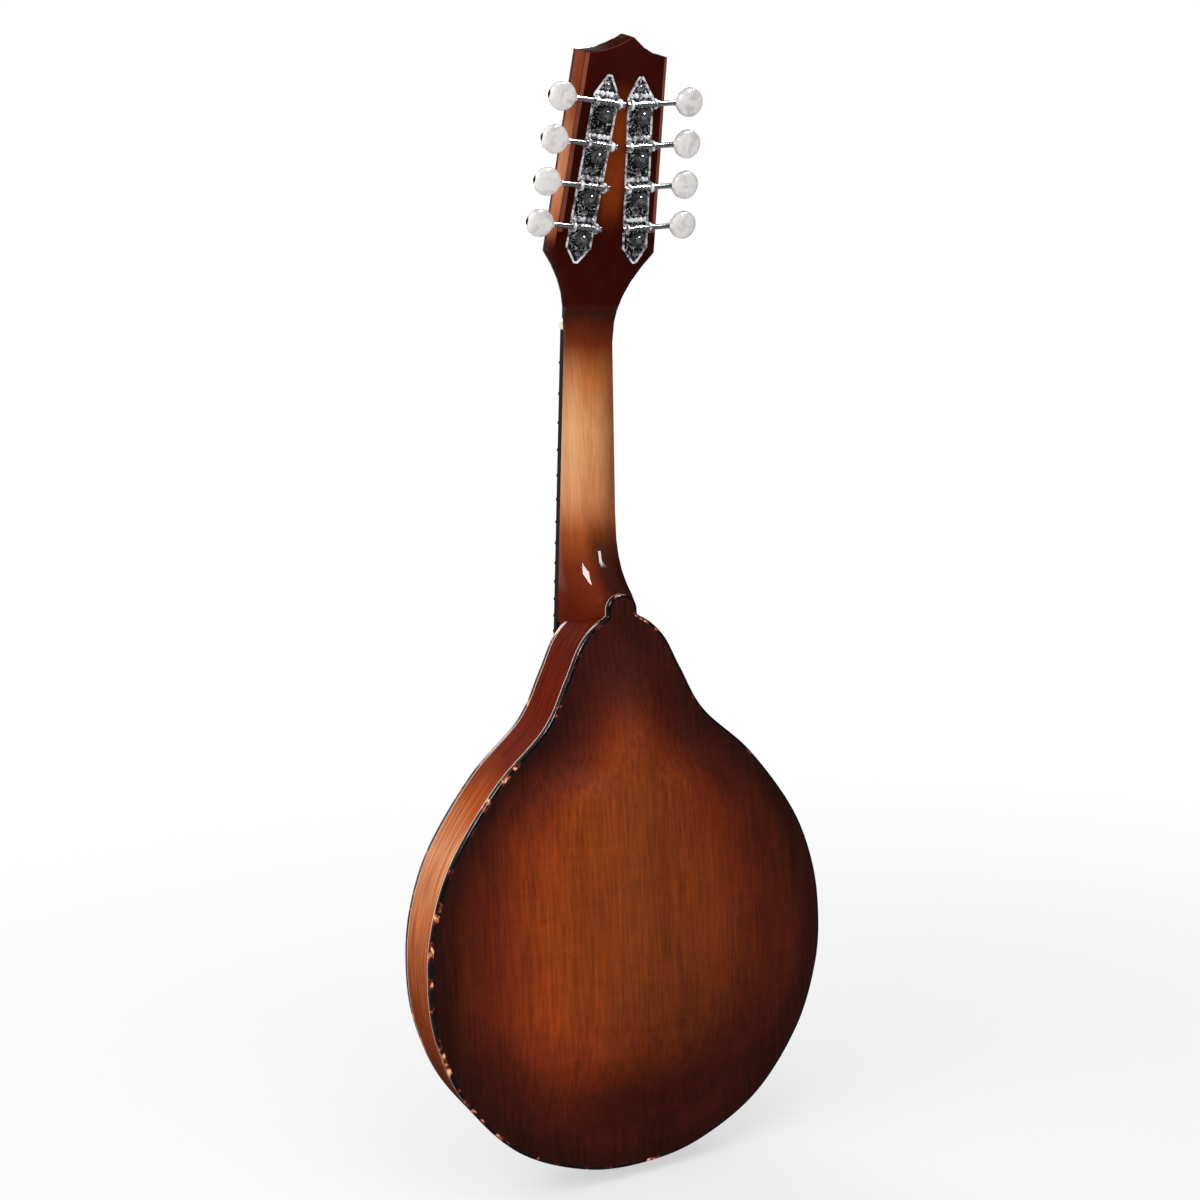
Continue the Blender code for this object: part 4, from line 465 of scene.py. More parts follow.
# The bindings are strips of black plastic with amber flecks, let into both edges.
# A thin light line of purfling parts them from the ribs, and their outer corner is scraped round.
CORNER = 0.0008
LINE = 0.0006


def binding_profile(side):
    """Section of a binding: up the side of the body, over its corner and in along the plate."""
    low, high = side * (HALF_DEPTH - PLATE_EDGE), side * HALF_DEPTH
    return (
        (0.0, low), (0.0, low + side * LINE), (0.0, high - side * CORNER),
        (CORNER * 0.29, high - side * CORNER * 0.29), (CORNER, high),
        (BINDING_WIDTH, high), (BINDING_WIDTH, low),
    )


binding_finish = Finish("tortoiseshell_binding", roughness=0.22, specular_ior_level=0.3, coat_weight=0.25)
section = binding_finish.axis(binding_finish.node("ShaderNodeTexCoord", {}, {}, 2), 1)
clouds = binding_finish.noise(binding_finish.place(), 92, 2, 0.6)
specks = binding_finish.noise(binding_finish.place(), 260, 2, 0.4)
# Painted shade: fewer light flecks on the bass side, so that the binding there reads darker.
bass_fleck_painted_shade = binding_finish.fade(binding_finish.axis(binding_finish.place(), 0), 0.0, -0.04) * 0.09
shell_and_painted_shade = binding_finish.ramp(clouds * 0.68 + specks * 0.32 - bass_fleck_painted_shade, (
    (0.0, "060304"), (0.515, "090405"), (0.55, "38100c"), (0.585, "7c321e"), (0.61, "c4824c"),
    (0.645, "f0bd84"),
))
light_line = section < 1 / len(binding_profile(1))
binding_finish.put("Base Color", binding_finish.mix(light_line, shell_and_painted_shade, paint("efc9b8")))
for name, outline, side, node in (
    ("binding_back", BACK_OUTLINE, 1, "back_binding"), ("binding_front", BODY_OUTLINE, -1, "top_binding"),
):
    strip = hooped(name, outline, binding_profile(side), smooth=50)
    dressed(strip, binding_finish, "instrument", "tortoiseshell_binding", node)


# The soundboard is two matched pieces of close-grained spruce, carved to an arch.
# The f-holes are sawn through it, and it has the same sunburst as the back, but brighter.
soundboard = carved("soundboard_carved", BODY_OUTLINE, -1, TOP_ARCH)
F_CENTRE, F_TILT = (0.066, 0.158), radians(16)
F_SPINE = (
    (0.033, -0.0075), (0.0385, -0.0065), (0.0405, -0.0035), (0.038, 0.0005), (0.030, 0.0022),
    (0.015, 0.0013), (0.0, 0.0), (-0.015, -0.0013), (-0.030, -0.0022),
    (-0.038, -0.0005), (-0.0405, 0.0035), (-0.0385, 0.0065), (-0.033, 0.0075),
)
F_TIP, F_SWELL, F_EYES = 0.0008, 0.0022, ((0, 0.0035), (-1, 0.0041))
CUT_PAST = 0.01


def f_place(side, along, out):
    x = F_CENTRE[0] + out * cos(F_TILT) - along * sin(F_TILT)
    return side * x, BODY_TAIL + F_CENTRE[1] + along * cos(F_TILT) + out * sin(F_TILT)


def slab(name, outline, low, high, put):
    """A flat piece: an outline on one level, extruded to the other."""
    cleared()
    bpy.ops.mesh.primitive_circle_add(vertices=len(outline), radius=1, fill_type="NGON")
    piece = bpy.context.object
    for corner, (u, v) in zip(piece.data.vertices, outline):
        corner.co = put(u, v, low)
    shift = Vector(put(0, 0, high)) - Vector(put(0, 0, low))
    bpy.ops.object.mode_set(mode="EDIT")
    bpy.ops.mesh.select_all(action="SELECT")
    bpy.ops.mesh.extrude_region_move(TRANSFORM_OT_translate={"value": shift})
    return rounded(piece, name, 30)


def across_body(u, v, y):
    return Vector((u, y, v))


def ring(radius, sides, centre=(0.0, 0.0)):
    turns = [2 * pi * i / sides for i in range(sides)]
    return [(centre[0] + radius * cos(a), centre[1] + radius * sin(a)) for a in turns]


def cut_by(piece, cutter):
    """Take a cutter out of a piece, and throw the cutter away."""
    change = piece.modifiers.new("cut", "BOOLEAN")
    change.operation = "DIFFERENCE"
    change.solver = "EXACT"
    change.object = cutter
    cleared()
    piece.select_set(True)
    bpy.context.view_layer.objects.active = piece
    bpy.ops.object.modifier_apply(modifier="cut")
    bpy.data.objects.remove(cutter)


for side in (-1, 1):
    run = [F_SPINE[0], *F_SPINE, F_SPINE[-1]]
    spine = [eased(*four, t / 4) for four in zip(run, run[1:], run[2:], run[3:]) for t in range(4)]
    spine.append(F_SPINE[-1])
    outer, inner = [], []
    for i, (along, out) in enumerate(spine):
        before, after = spine[max(i - 1, 0)], spine[min(i + 1, len(spine) - 1)]
        run_along, run_out = after[0] - before[0], after[1] - before[1]
        half = F_TIP + F_SWELL * sin(pi * i / (len(spine) - 1)) ** 2
        step = half / hypot(run_along, run_out)
        outer.append(f_place(side, along - run_out * step, out + run_along * step))
        inner.append(f_place(side, along + run_out * step, out - run_along * step))
    depths = (-HALF_DEPTH - TOP_ARCH - CUT_PAST, -HALF_DEPTH + PLATE_EDGE + CUT_PAST)
    cut_by(soundboard, slab("f_stem", outer + inner[::-1], *depths, across_body))
    for end, radius in F_EYES:
        eye = ring(radius, 28, f_place(side, *F_SPINE[end]))
        cut_by(soundboard, slab("f_eye", eye, *depths, across_body))
cleared()
soundboard.select_set(True)
bpy.context.view_layer.objects.active = soundboard
bpy.ops.object.shade_smooth_by_angle(angle=radians(40))
top_finish = Finish("spruce_sunburst", roughness=0.25, coat_weight=0.4, coat_roughness=0.1)
ring_values = {"Vector": top_finish.place((1, 1, 0.03)), "Scale": 210, "Distortion": 1.2}
ring_values |= {"Detail": 3, "Detail Scale": 0.6}
year_rings = top_finish.node("ShaderNodeTexWave", {"bands_direction": "X"}, ring_values, 1)
top_out = top_finish.axis(top_finish.node("ShaderNodeTexCoord", {}, {}, 2), 1) * (1 / PLATE_FACE)
top_burst = top_finish.ramp(top_out, (
    (0.0, "c9832f"), (0.35, "bb6f22"), (0.58, "8a3d12"), (0.78, "4c170a"), (0.92, "1f0806"),
    (1.0, "100505"),
))
top_finish.put("Base Color", top_finish.mix(1.0, top_burst, 0.82 + year_rings * 0.28, "MULTIPLY"))
dressed(soundboard, top_finish, "instrument", "spruce_sunburst", "soundboard")


# The blocks, linings and tone bars are bare spruce, glued inside before the box is closed.
# They show only as pale wood behind the f-holes.
ALONG_BOARD = (1, 1, 0.05)


def grained(finish, stretch, scale, detail, *stops):
    """Colour a finish by a fine noise, stretched along its grain, and hand the noise back."""
    grain = finish.noise(finish.place(stretch), scale, detail)
    finish.put("Base Color", finish.ramp(grain, stops))
    return grain


def coated(nodes, finish):
    """Give pieces of the frame their real finish."""
    for node in nodes:
        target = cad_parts[node]
        target.data.materials.clear()
        target.data.materials.append(finish.material)


inner_finish = Finish("inner_spruce", roughness=0.75)
grained(inner_finish, ALONG_BOARD, 700, 3, (0.3, "b9935f"), (0.7, "d6b483"))
coated([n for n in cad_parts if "lining" in n or "tone_bar" in n or "block" in n], inner_finish)


# The neck, heel and headstock are one piece of mahogany, shaped by hand and set into the body.
# The stain is dark at both ends and rubbed back to a light tan where the hand runs. Over it lie painted shade
# on the heel and on the shaft's bass side, and painted highlights on the shaft's treble side and along the
# headstock's back edge.
def softened(piece, width, angle=30):
    """Ease the sharp edges of the active piece."""
    ease = piece.modifiers.new("ease", "BEVEL")
    ease.width = width
    ease.segments = 2
    ease.limit_method = "ANGLE"
    ease.angle_limit = radians(angle)
    bpy.ops.object.modifier_apply(modifier="ease")


def faired(node, name, edge=0.0003, smooth=35):
    """A copy of a frame piece with its facets joined, its edges eased and its shading smooth."""
    copy = bpy.data.objects.new(name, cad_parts[node].data.copy())
    bpy.context.collection.objects.link(copy)
    rounded(copy, name, smooth, turned_out=False)
    bpy.ops.object.mode_set(mode="EDIT")
    bpy.ops.mesh.select_all(action="SELECT")
    bpy.ops.mesh.remove_doubles(threshold=1e-5)
    bpy.ops.mesh.dissolve_limited(angle_limit=radians(0.6))
    bpy.ops.object.mode_set(mode="OBJECT")
    if edge:
        softened(copy, edge, 38)
    bpy.ops.object.shade_smooth_by_angle(angle=radians(smooth))
    return copy


NECK_ANGLE, HEAD_ANGLE = radians(5.7), radians(14)
FINGERBOARD_THICKNESS, CLEARANCE = 0.005, 0.0003
NUT_THICKNESS = 0.0045
NECK_RUN, NUT_SINK = 0.1695, 0.0041
NUT_PLACE = (0, -HALF_DEPTH + NUT_SINK, BODY_TOP + NECK_RUN * cos(NECK_ANGLE))
NECK_FRAME = Matrix.Translation(NUT_PLACE) @ Matrix.Rotation(-NECK_ANGLE, 4, "X")
HEAD_FRAME = (
    NECK_FRAME
    @ Matrix.Translation((0, FINGERBOARD_THICKNESS + CLEARANCE, NUT_THICKNESS + 2 * CLEARANCE))
    @ Matrix.Rotation(-HEAD_ANGLE, 4, "X")
)
HEAD_TILT = -(NECK_ANGLE + HEAD_ANGLE)
HEAD_THICKNESS = 0.0143
neck = faired("neck", "neck_carved", edge=0.0006, smooth=40)
neck_finish = Finish("neck_mahogany", roughness=0.6, specular_ior_level=0.015, coat_roughness=0.03)
neck_where = neck_finish.place()
neck_height = neck_finish.axis(neck_where, 2)
neck_broad = neck_finish.noise(neck_finish.place((1, 1, 0.14)), 60, 3, 0.5)
neck_fibres = neck_finish.noise(neck_finish.place((1, 1, 0.04)), 800, 4)
neck_low, neck_high = 0.35, 0.53
neck_share = (neck_height - neck_low) * (1 / (neck_high - neck_low)) + (neck_broad - 0.5) * 0.08
neck_stain_and_painted_light = neck_finish.ramp(neck_share, (
    (0.0, "581a08"), (0.14, "6c270c"), (0.26, "8a441e"), (0.38, "b8764c"), (0.6, "c68a5a"),
    (0.76, "aa6232"), (0.87, "66260a"), (0.97, "360e05"),
))
head_where = neck_finish.place(location=tuple(HEAD_FRAME.translation), turn=(HEAD_TILT, 0, 0))
head_x, head_up = neck_finish.axis(head_where, 0), neck_finish.axis(head_where, 2)
head_deep = neck_finish.axis(head_where, 1)
off_middle = neck_finish.node("ShaderNodeMath", {"operation": "ABSOLUTE"}, {0: head_x})
stripe = neck_finish.fade(off_middle + (neck_broad - 0.5) * 0.004, 0.0105, 0.004)
stripe = stripe * neck_finish.fade(head_up, 0.052, 0.082) * neck_finish.fade(head_up, 0.142, 0.118)
HEAD_HALF, HEAD_WIDEST, HEAD_TAPER = 0.0327, 0.0445, 0.0653
head_edge = HEAD_HALF - (head_up - HEAD_WIDEST) * HEAD_TAPER
on_side = (off_middle > head_edge - 0.0006) * neck_finish.fade(head_up, 0.044, 0.056)
on_side = on_side * neck_finish.fade(head_deep, 0.0, 0.0022) * neck_finish.fade(head_deep, 0.0140, 0.0124)
side_stain = neck_finish.ramp(head_up * (1 / 0.15) + (neck_broad - 0.5) * 0.1, (
    (0.3, "7a2c12"), (0.39, "ac5c36"), (0.52, "c98258"), (0.68, "c07650"), (0.78, "98542f"),
    (0.9, "7a3517"),
))
head_colour_and_painted_highlight = neck_finish.mix(stripe * 0.8, paint("360b04"), paint("8a3a10"))
head_colour_and_painted_highlight = neck_finish.mix(on_side, head_colour_and_painted_highlight, side_stain)
# Painted highlight: a pale line along the eased back edge of the headstock.
head_edge_painted_highlight = (head_deep > HEAD_THICKNESS - 0.0007) * (head_deep < HEAD_THICKNESS - 0.0001)
head_edge_painted_highlight = head_edge_painted_highlight * (head_up > 0.056)
head_colour_and_painted_highlight = neck_finish.mix(head_edge_painted_highlight * 0.6, head_colour_and_painted_highlight, paint("9c5a48"))
neck_across = neck_finish.axis(neck_where, 0)
shaded = neck_finish.fade(neck_height, 0.412, 0.378) * neck_finish.fade(neck_across, 0.011, 0.002) * 0.85
neck_stain_and_painted_light = neck_finish.mix(shaded, neck_stain_and_painted_light, paint("290a05"))
below_head = neck_finish.fade(neck_height, 0.515, 0.47)
above_heel = neck_finish.fade(neck_height, 0.395, 0.42)
# Painted shade: the bass side of the shaft, between heel and head, is darkened.
neck_bass_painted_shade = neck_finish.fade(neck_across, 0.002, -0.013) * below_head * above_heel
neck_stain_and_painted_light = neck_finish.mix(neck_bass_painted_shade * 0.6, neck_stain_and_painted_light, paint("763414"))
# Painted highlight: the treble side of the shaft is lightened, as though lit from that side.
neck_treble_painted_highlight = neck_finish.fade(neck_across, 0.006, 0.014) * below_head
neck_treble_painted_highlight = neck_treble_painted_highlight * neck_finish.fade(neck_height, 0.4, 0.44)
neck_stain_and_painted_light = neck_finish.mix(neck_treble_painted_highlight * 0.25, neck_stain_and_painted_light, paint("ecbb8c"))
wood = neck_finish.mix(neck_height > neck_high, neck_stain_and_painted_light, head_colour_and_painted_highlight)
cheek = neck_finish.fade(neck_across, 0.008, 0.0105) * neck_finish.fade(neck_height, 0.358, 0.366)
shank = neck_finish.fade(neck_height, 0.375, 0.380) * (neck_height < neck_high)
neck_finish.put("Coat Weight", (cheek * (neck_height < neck_high) + shank - cheek * shank) * 0.4)
neck_tone = 0.8 + (neck_fibres - 0.5) * 0.5 + (neck_broad - 0.5) * 0.45
neck_finish.put("Base Color", neck_finish.mix(1.0, wood, neck_tone * 1.18, "MULTIPLY"))
dressed(neck, neck_finish, "instrument", "neck_mahogany", "neck")


# The front of the headstock has a glossy black facing, with a bushing let in for each post.
# A small bell-shaped cover hides the truss rod's end.
facing_finish = Finish("black_facing", base_color=paint("0b0a0a"), roughness=0.12, coat_weight=0.6)
facing_dust = facing_finish.noise(facing_finish.place(), 300, 2)
facing_finish.put("Roughness", 0.1 + facing_dust * 0.1)
for node, name in (("head_overlay", "head_facing"), ("truss_rod_cover", "rod_cover")):
    dressed(faired(node, name), facing_finish, "instrument", "black_plastic", node)


# The fingerboard is a strip of blackened hardwood with nickel frets pressed into slots.
# Pearl dots mark the positions, and a bone nut stands at its end.
def joined(name, *pieces):
    """Several solids of one piece, kept as one mesh."""
    cleared()
    for piece in pieces:
        piece.select_set(True)
    bpy.context.view_layer.objects.active = pieces[0]
    bpy.ops.object.join()
    pieces[0].name = name
    pieces[0].data.name = name
    return pieces[0]


def placed(base):
    """Puts an outline's two measures across and up a frame, and its level along the frame's Y."""
    return lambda u, v, y: base @ Vector((u, y, v))


EVEN = (1, 1, 1)
FRET_FOOT = 0.0002
board_finish = Finish("black_board", roughness=0.55, specular_ior_level=0.15)
grained(board_finish, ALONG_BOARD, 700, 3, (0.3, "070505"), (0.7, "15100d"))
fingerboard = faired("fingerboard", "fretted_board", edge=0.0)
dressed(fingerboard, board_finish, "instrument", "black_board", "fingerboard")
metal_finish = Finish("nickel", metallic=1.0)
rubbed = grained(metal_finish, EVEN, 420, 3, (0.3, "b9bbc0"), (0.7, "dcdde0"))
metal_finish.put("Roughness", 0.07 + rubbed * 0.1)
fingerboard.data.materials.append(metal_finish.material)
to_neck = NECK_FRAME.inverted()
for face in fingerboard.data.polygons:
    on_fret = (to_neck @ face.center).y < -FRET_FOOT and abs(face.normal.x) < 0.7
    face.material_index = int(on_fret)
pearl_finish = Finish("pearl_button", roughness=0.16, coat_weight=0.6, coat_roughness=0.06)
swirl = pearl_finish.noise(pearl_finish.place(), 170, 3, 0.9)
pearl_finish.put("Base Color", pearl_finish.ramp(swirl, (
    (0.3, "c2bebd"), (0.45, "d6d3d2"), (0.56, "e4e1df"), (0.7, "dad2ce"),
)))
SCALE_LENGTH = 0.348
DOT_RADIUS, DOT_PROUD, DOT_SUNK, DOTS_APART = 0.0021, 0.00004, 0.0004, 0.0062
dots = []
for fret, off in ((5, 0.0), (7, 0.0), (10, 0.0), (12, -DOTS_APART), (12, DOTS_APART), (15, 0.0)):
    between = (2 ** (-(fret - 1) / 12) + 2 ** (-fret / 12)) / 2
    spot = (off, -SCALE_LENGTH * (1 - between))
    dots.append(slab("dot", ring(DOT_RADIUS, 24, spot), DOT_SUNK, -DOT_PROUD, placed(NECK_FRAME)))
dressed(joined("pearl_dots", *dots), pearl_finish, "instrument", "pearl_button")
bone_finish = Finish("bone", roughness=0.35)
grained(bone_finish, EVEN, 160, 3, (0.3, "d8d0bd"), (0.7, "ece6d8"))
dressed(faired("nut", "nut_bone", edge=0.0002), bone_finish, "instrument", "bone", "nut")


# Each side of the headstock has four tuners on one stamped and engraved plate.
# The plates, worms and gears are plated, and the buttons are pearly plastic.
LINE_HALF, LINE_LEAN = 0.0170, radians(5.1)
TUNER_START, TUNER_SPACING = 0.0596, 0.023
PLATE_SEAT = HEAD_THICKNESS + CLEARANCE
KEY_HEIGHT, GEAR_DROP = 0.0045, 0.0064
GEAR_TEETH = 13
PLATE_HALF, PLATE_METAL = 0.00785, 0.0011
RIM_WIDTH, RIM_STEP, RIM_HEIGHT = 0.0008, 0.0003, 0.0004
PLATE_LOW, PLATE_HIGH = -0.0214, 3 * TUNER_SPACING + 0.0143
POINT_LOW, POINT_HIGH, POINT_HALF = 0.009, 0.011, 0.0012
EAR_RADIUS, EAR_METAL, EAR_FLARE = 0.0029, 0.0014, 0.12
BEAD_ROW, BEAD_COUNT, SCREW_SUNK = 0.0040, 5, 0.00035
WORM_ROOT, WORM_CREST = 0.00145, 0.00225
PITCH_RADIUS = 0.004375
WORM_PITCH = 2 * pi * PITCH_RADIUS / GEAR_TEETH
KEY_IN, BUTTON_REACH, BUTTON_RADIUS = 0.01025, 0.0285, 0.0079
BUTTON_HALF, BUTTON_EASE, BUTTON_BORE = 0.0035, 0.0022, 0.0016
POST_RADIUS, POST_OUT = 0.003, 0.0135
FACING_FRONT = CLEARANCE + 0.0020

engraved_finish = Finish("engraved_plate", metallic=0.3, specular_ior_level=0.3)
engraving = engraved_finish.noise(engraved_finish.place(), 430, 2, 2.4)
cuts = engraved_finish.fade(engraving, 0.56, 0.62)
engraved_finish.put("Base Color", engraved_finish.mix(cuts, paint("09090b"), paint("d8d8dc")))
engraved_finish.put("Roughness", 0.5 - cuts * 0.15)
engraved_finish.relief(cuts, 0.0003, 0.8)
bright_finish = Finish("bright_rim", metallic=0.25, roughness=0.35)
grained(bright_finish, EVEN, 380, 3, (0.4, "55565a"), (0.56, "f6f6f8"))
gear_finish = Finish("darkened_gear", metallic=0.8, roughness=0.5)
grained(gear_finish, EVEN, 500, 3, (0.35, "2a2a2c"), (0.65, "77777a"))


def on_plate(side):
    """Frame of a tuner plate: X across it, Y out of the headstock's back, Z up the row."""
    seat = Matrix.Translation((side * LINE_HALF, PLATE_SEAT, TUNER_START))
    return HEAD_FRAME @ seat @ Matrix.Rotation(-side * LINE_LEAN, 4, "Y")


def lathed(name, profile, put, columns=32, smooth=40):
    """A turned piece: (radius, height) pairs, with its two ends closed."""
    rows = len(profile) - 1

    def place(u, v):
        radius, height = profile[round(v * rows)]
        return put(radius * cos(2 * pi * u), radius * sin(2 * pi * u), height)

    return skinned(name, columns, rows, place, smooth)


def screw(name, base, radius=0.0017, height=0.0008):
    """A small domed screw head with one slot; base has Y out of the surface."""
    sunk, brim = 0.0004, 0.25
    dome = [(0.0, -sunk), (radius, -sunk), (radius, height * brim)]
    for angle in (25, 50, 70):
        dome.append((radius * cos(radians(angle)), height * (brim + (1 - brim) * sin(radians(angle)))))
    upright = placed(base)
    head = lathed(name, dome + [(0.0, height)], upright, 20)
    half_slot, past = 0.0002, radius * 1.2
    slot = [(-half_slot, -past), (half_slot, -past), (half_slot, past), (-half_slot, past)]
    cut_by(head, slab("slot", slot, height * 0.45, height * 2, upright))
    return rounded(head, name, 40)


def gear_wheel(name, base):
    """A hobbed gear with rounded teeth, on a plain disc."""
    half, ease, dish = 0.0015, 0.0003, 0.0025
    middle, tooth_depth, throat = 0.00415, 0.00045, 0.00012
    rows = 8

    def place(u, v):
        tooth = cos(2 * pi * (u - 0.25) * GEAR_TEETH)
        edge = middle + tooth_depth * max(min(tooth * 1.7, 1.0), -1.0)
        profile = (
            (0.0, -half), (edge - ease, -half), (edge, -half * 0.7), (edge - throat, 0.0), (edge, half * 0.7),
            (edge - ease, half), (dish + 0.0001, half), (dish - 0.0001, half - ease), (0.0, half - ease),
        )
        radius, height = profile[round(v * rows)]
        return base @ Vector((radius * cos(2 * pi * u), KEY_HEIGHT + height, radius * sin(2 * pi * u)))

    return skinned(name, GEAR_TEETH * 10, rows, place, 45)


def key_shaft(name, base, side):
    """The key's shaft with its worm, turned from one rod."""
    thread, runout = WORM_PITCH * 1.5, 0.0004
    head_radius, collar_radius = 0.0019, 0.0023
    stations = [(-KEY_IN, 0.0), (-KEY_IN, 0.0013), (-KEY_IN + 0.0003, head_radius)]
    stations += [(-KEY_IN + 0.0012, head_radius), (-KEY_IN + 0.0015, WORM_ROOT)]
    stations.append((-thread - runout, WORM_ROOT))
    steps = 66
    stations += [(-thread + 2 * thread * i / steps, None) for i in range(steps + 1)]
    stations += [(thread + runout, WORM_ROOT), (0.0083, WORM_ROOT), (0.0085, collar_radius)]
    stations += [(0.0093, collar_radius), (0.0095, WORM_ROOT)]
    stations += [(BUTTON_REACH - BUTTON_RADIUS * 0.7, WORM_ROOT), (BUTTON_REACH, 0.0)]
    rows = len(stations) - 1

    def place(u, v):
        x, radius = stations[round(v * rows)]
        turn = 2 * pi * u
        if radius is None:
            phase = (x / WORM_PITCH + side * u) % 1.0
            ridge = min(max((abs(phase - 0.5) - 0.13) / 0.17, 0.0), 1.0)
            ends = min((thread - abs(x)) / (WORM_PITCH * 0.3), 1.0)
            radius = WORM_ROOT + (WORM_CREST - WORM_ROOT) * ridge * max(ends, 0.0)
        return base @ Vector((side * x, radius * sin(turn), radius * cos(turn)))

    return skinned(name, 24, rows, place, 55)


def button(name, base, side):
    """A flat round button with an eased rim, a short collar, and the bore for the shaft's end."""
    flat, brow = BUTTON_HALF * 0.98, BUTTON_HALF * 0.93
    upper = [(0.0, BUTTON_HALF), (BUTTON_RADIUS * 0.5, flat), (BUTTON_RADIUS - BUTTON_EASE, brow)]
    for angle in (66, 44, 22, 0):
        out = BUTTON_RADIUS - BUTTON_EASE * (1 - cos(radians(angle)))
        upper.append((out, brow - BUTTON_EASE + BUTTON_EASE * sin(radians(angle))))
    coin = upper + [(radius, -height) for radius, height in upper[::-1]]
    at_button = base @ Matrix.Translation((side * BUTTON_REACH, 0, 0))
    disc = lathed(name, coin, placed(at_button), 48, 50)

    def along_shaft(u, v, x):
        return base @ Vector((side * x, u, v))

    outer = BUTTON_REACH + BUTTON_RADIUS
    cut_by(disc, slab("bore", ring(BUTTON_BORE, 20), outer - 0.0016, outer + 0.001, along_shaft))
    rounded(disc, name, 50)
    inner = BUTTON_REACH - BUTTON_RADIUS
    collar_profile = [
        (0.0, inner - 0.0008), (0.0018, inner - 0.0008), (0.0022, inner - 0.0003), (0.0023, inner + 0.0008),
        (0.0, inner + 0.0008),
    ]
    disc = joined(name, disc, lathed("collar", collar_profile, along_shaft, 24))
    disc.data.materials.clear()
    disc.data.materials.append(pearl_finish.material)
    disc.data.materials.append(facing_finish.material)
    back_to_shaft = base.inverted()
    for face in disc.data.polygons:
        spot = back_to_shaft @ face.center
        in_bore = side * spot.x > outer - 0.0018 and hypot(spot.y, spot.z) < BUTTON_BORE - 0.00001
        face.material_index = int(in_bore)
    return disc


def beaded_bar(name, base, z):
    """The bracket's scalloped upper edge, a row of small bosses across the plate."""
    half, steps = PLATE_HALF - 0.0004, 40
    swell = []
    for step in range(steps + 1):
        t = step / steps
        swell.append((0.0006 + 0.0007 * abs(sin(pi * BEAD_COUNT * t))) * min(1.0, 8 * min(t, 1 - t)))

    def place(u, v):
        step, turn = round(v * steps), 2 * pi * u
        out, rise = swell[step] * sin(turn), swell[step] * 1.2 * cos(turn)
        return base @ Vector((half * (2 * step / steps - 1), PLATE_METAL + out, z + rise))

    return skinned(name, 16, steps, place, 60)


def ear_at(base, x, z):
    """One ear of a bracket: round over the key, flared and flat where it stands on the plate."""
    cleared()
    bpy.ops.mesh.primitive_cylinder_add(vertices=28, radius=EAR_RADIUS, depth=EAR_METAL)
    ear = bpy.context.object
    for corner in ear.data.vertices:
        across_ear, up_ear, thick = corner.co
        rise, flare = KEY_HEIGHT + up_ear, 1.0
        if up_ear <= 0:
            rise = KEY_HEIGHT * (1 + up_ear / EAR_RADIUS) + 0.0003
            flare = 1.0 - EAR_FLARE * up_ear / EAR_RADIUS
        corner.co = base @ Vector((x + thick, rise, z + across_ear * flare))
    softened(rounded(ear, "ear", 40), 0.0003)
    return rounded(ear, "ear", 40)


def stamped_plate(name, base):
    """The plate with its two points, its raised bright rim and its engraved middle."""
    low, high = PLATE_LOW + POINT_LOW, PLATE_HIGH - POINT_HIGH
    right_side = [(PLATE_HALF, low), (PLATE_HALF, high), (POINT_HALF, PLATE_HIGH)]
    left_side = [(-POINT_HALF, PLATE_HIGH), (-PLATE_HALF, high), (-PLATE_HALF, low)]
    tip = [(-POINT_HALF, PLATE_LOW), (POINT_HALF, PLATE_LOW)]
    plate = slab(name, right_side + left_side + tip, 0.0, PLATE_METAL, placed(base))
    plate.data.materials.append(bright_finish.material)
    plate.data.materials.append(engraved_finish.material)
    bpy.ops.object.mode_set(mode="EDIT")
    bpy.ops.mesh.select_all(action="DESELECT")
    net = bmesh.from_edit_mesh(plate.data)
    out_of_head = base.to_3x3() @ Vector((0, 1, 0))
    for face in net.faces:
        if face.normal.dot(out_of_head) > 0.9:
            face.select_set(True)
    bmesh.update_edit_mesh(plate.data)
    bpy.ops.mesh.inset(thickness=RIM_WIDTH)
    bpy.ops.mesh.inset(thickness=RIM_STEP, depth=-RIM_HEIGHT)
    plate.active_material_index = 1
    bpy.ops.object.material_slot_assign()
    bpy.ops.object.mode_set(mode="OBJECT")
    return plate


def string_post(label, base, slot_turn):
    """The post with its waist for the string, its gear and the gear's screw, as one turning piece."""
    front = -FACING_FRONT - POST_OUT - PLATE_SEAT
    profile = [
        (0.0, KEY_HEIGHT), (POST_RADIUS, KEY_HEIGHT - 0.0016), (POST_RADIUS, front + 0.0062),
        (0.0025, front + 0.005), (0.0024, front + 0.0018), (0.0029, front + 0.0009), (0.0027, front + 0.0002),
        (0.0, front),
    ]
    post = lathed(f"post_{label}", profile, placed(base), 28)
    gear = gear_wheel("gear", base)
    seat = base @ Matrix.Translation((0, KEY_HEIGHT + 0.0013, 0)) @ Matrix.Rotation(slot_turn, 4, "Y")
    head = screw("gear_screw", seat, 0.0021, 0.0011)
    for piece, coat in ((post, metal_finish), (gear, gear_finish), (head, metal_finish)):
        piece.data.materials.append(coat.material)
    return joined(f"post_{label}", post, gear, head)


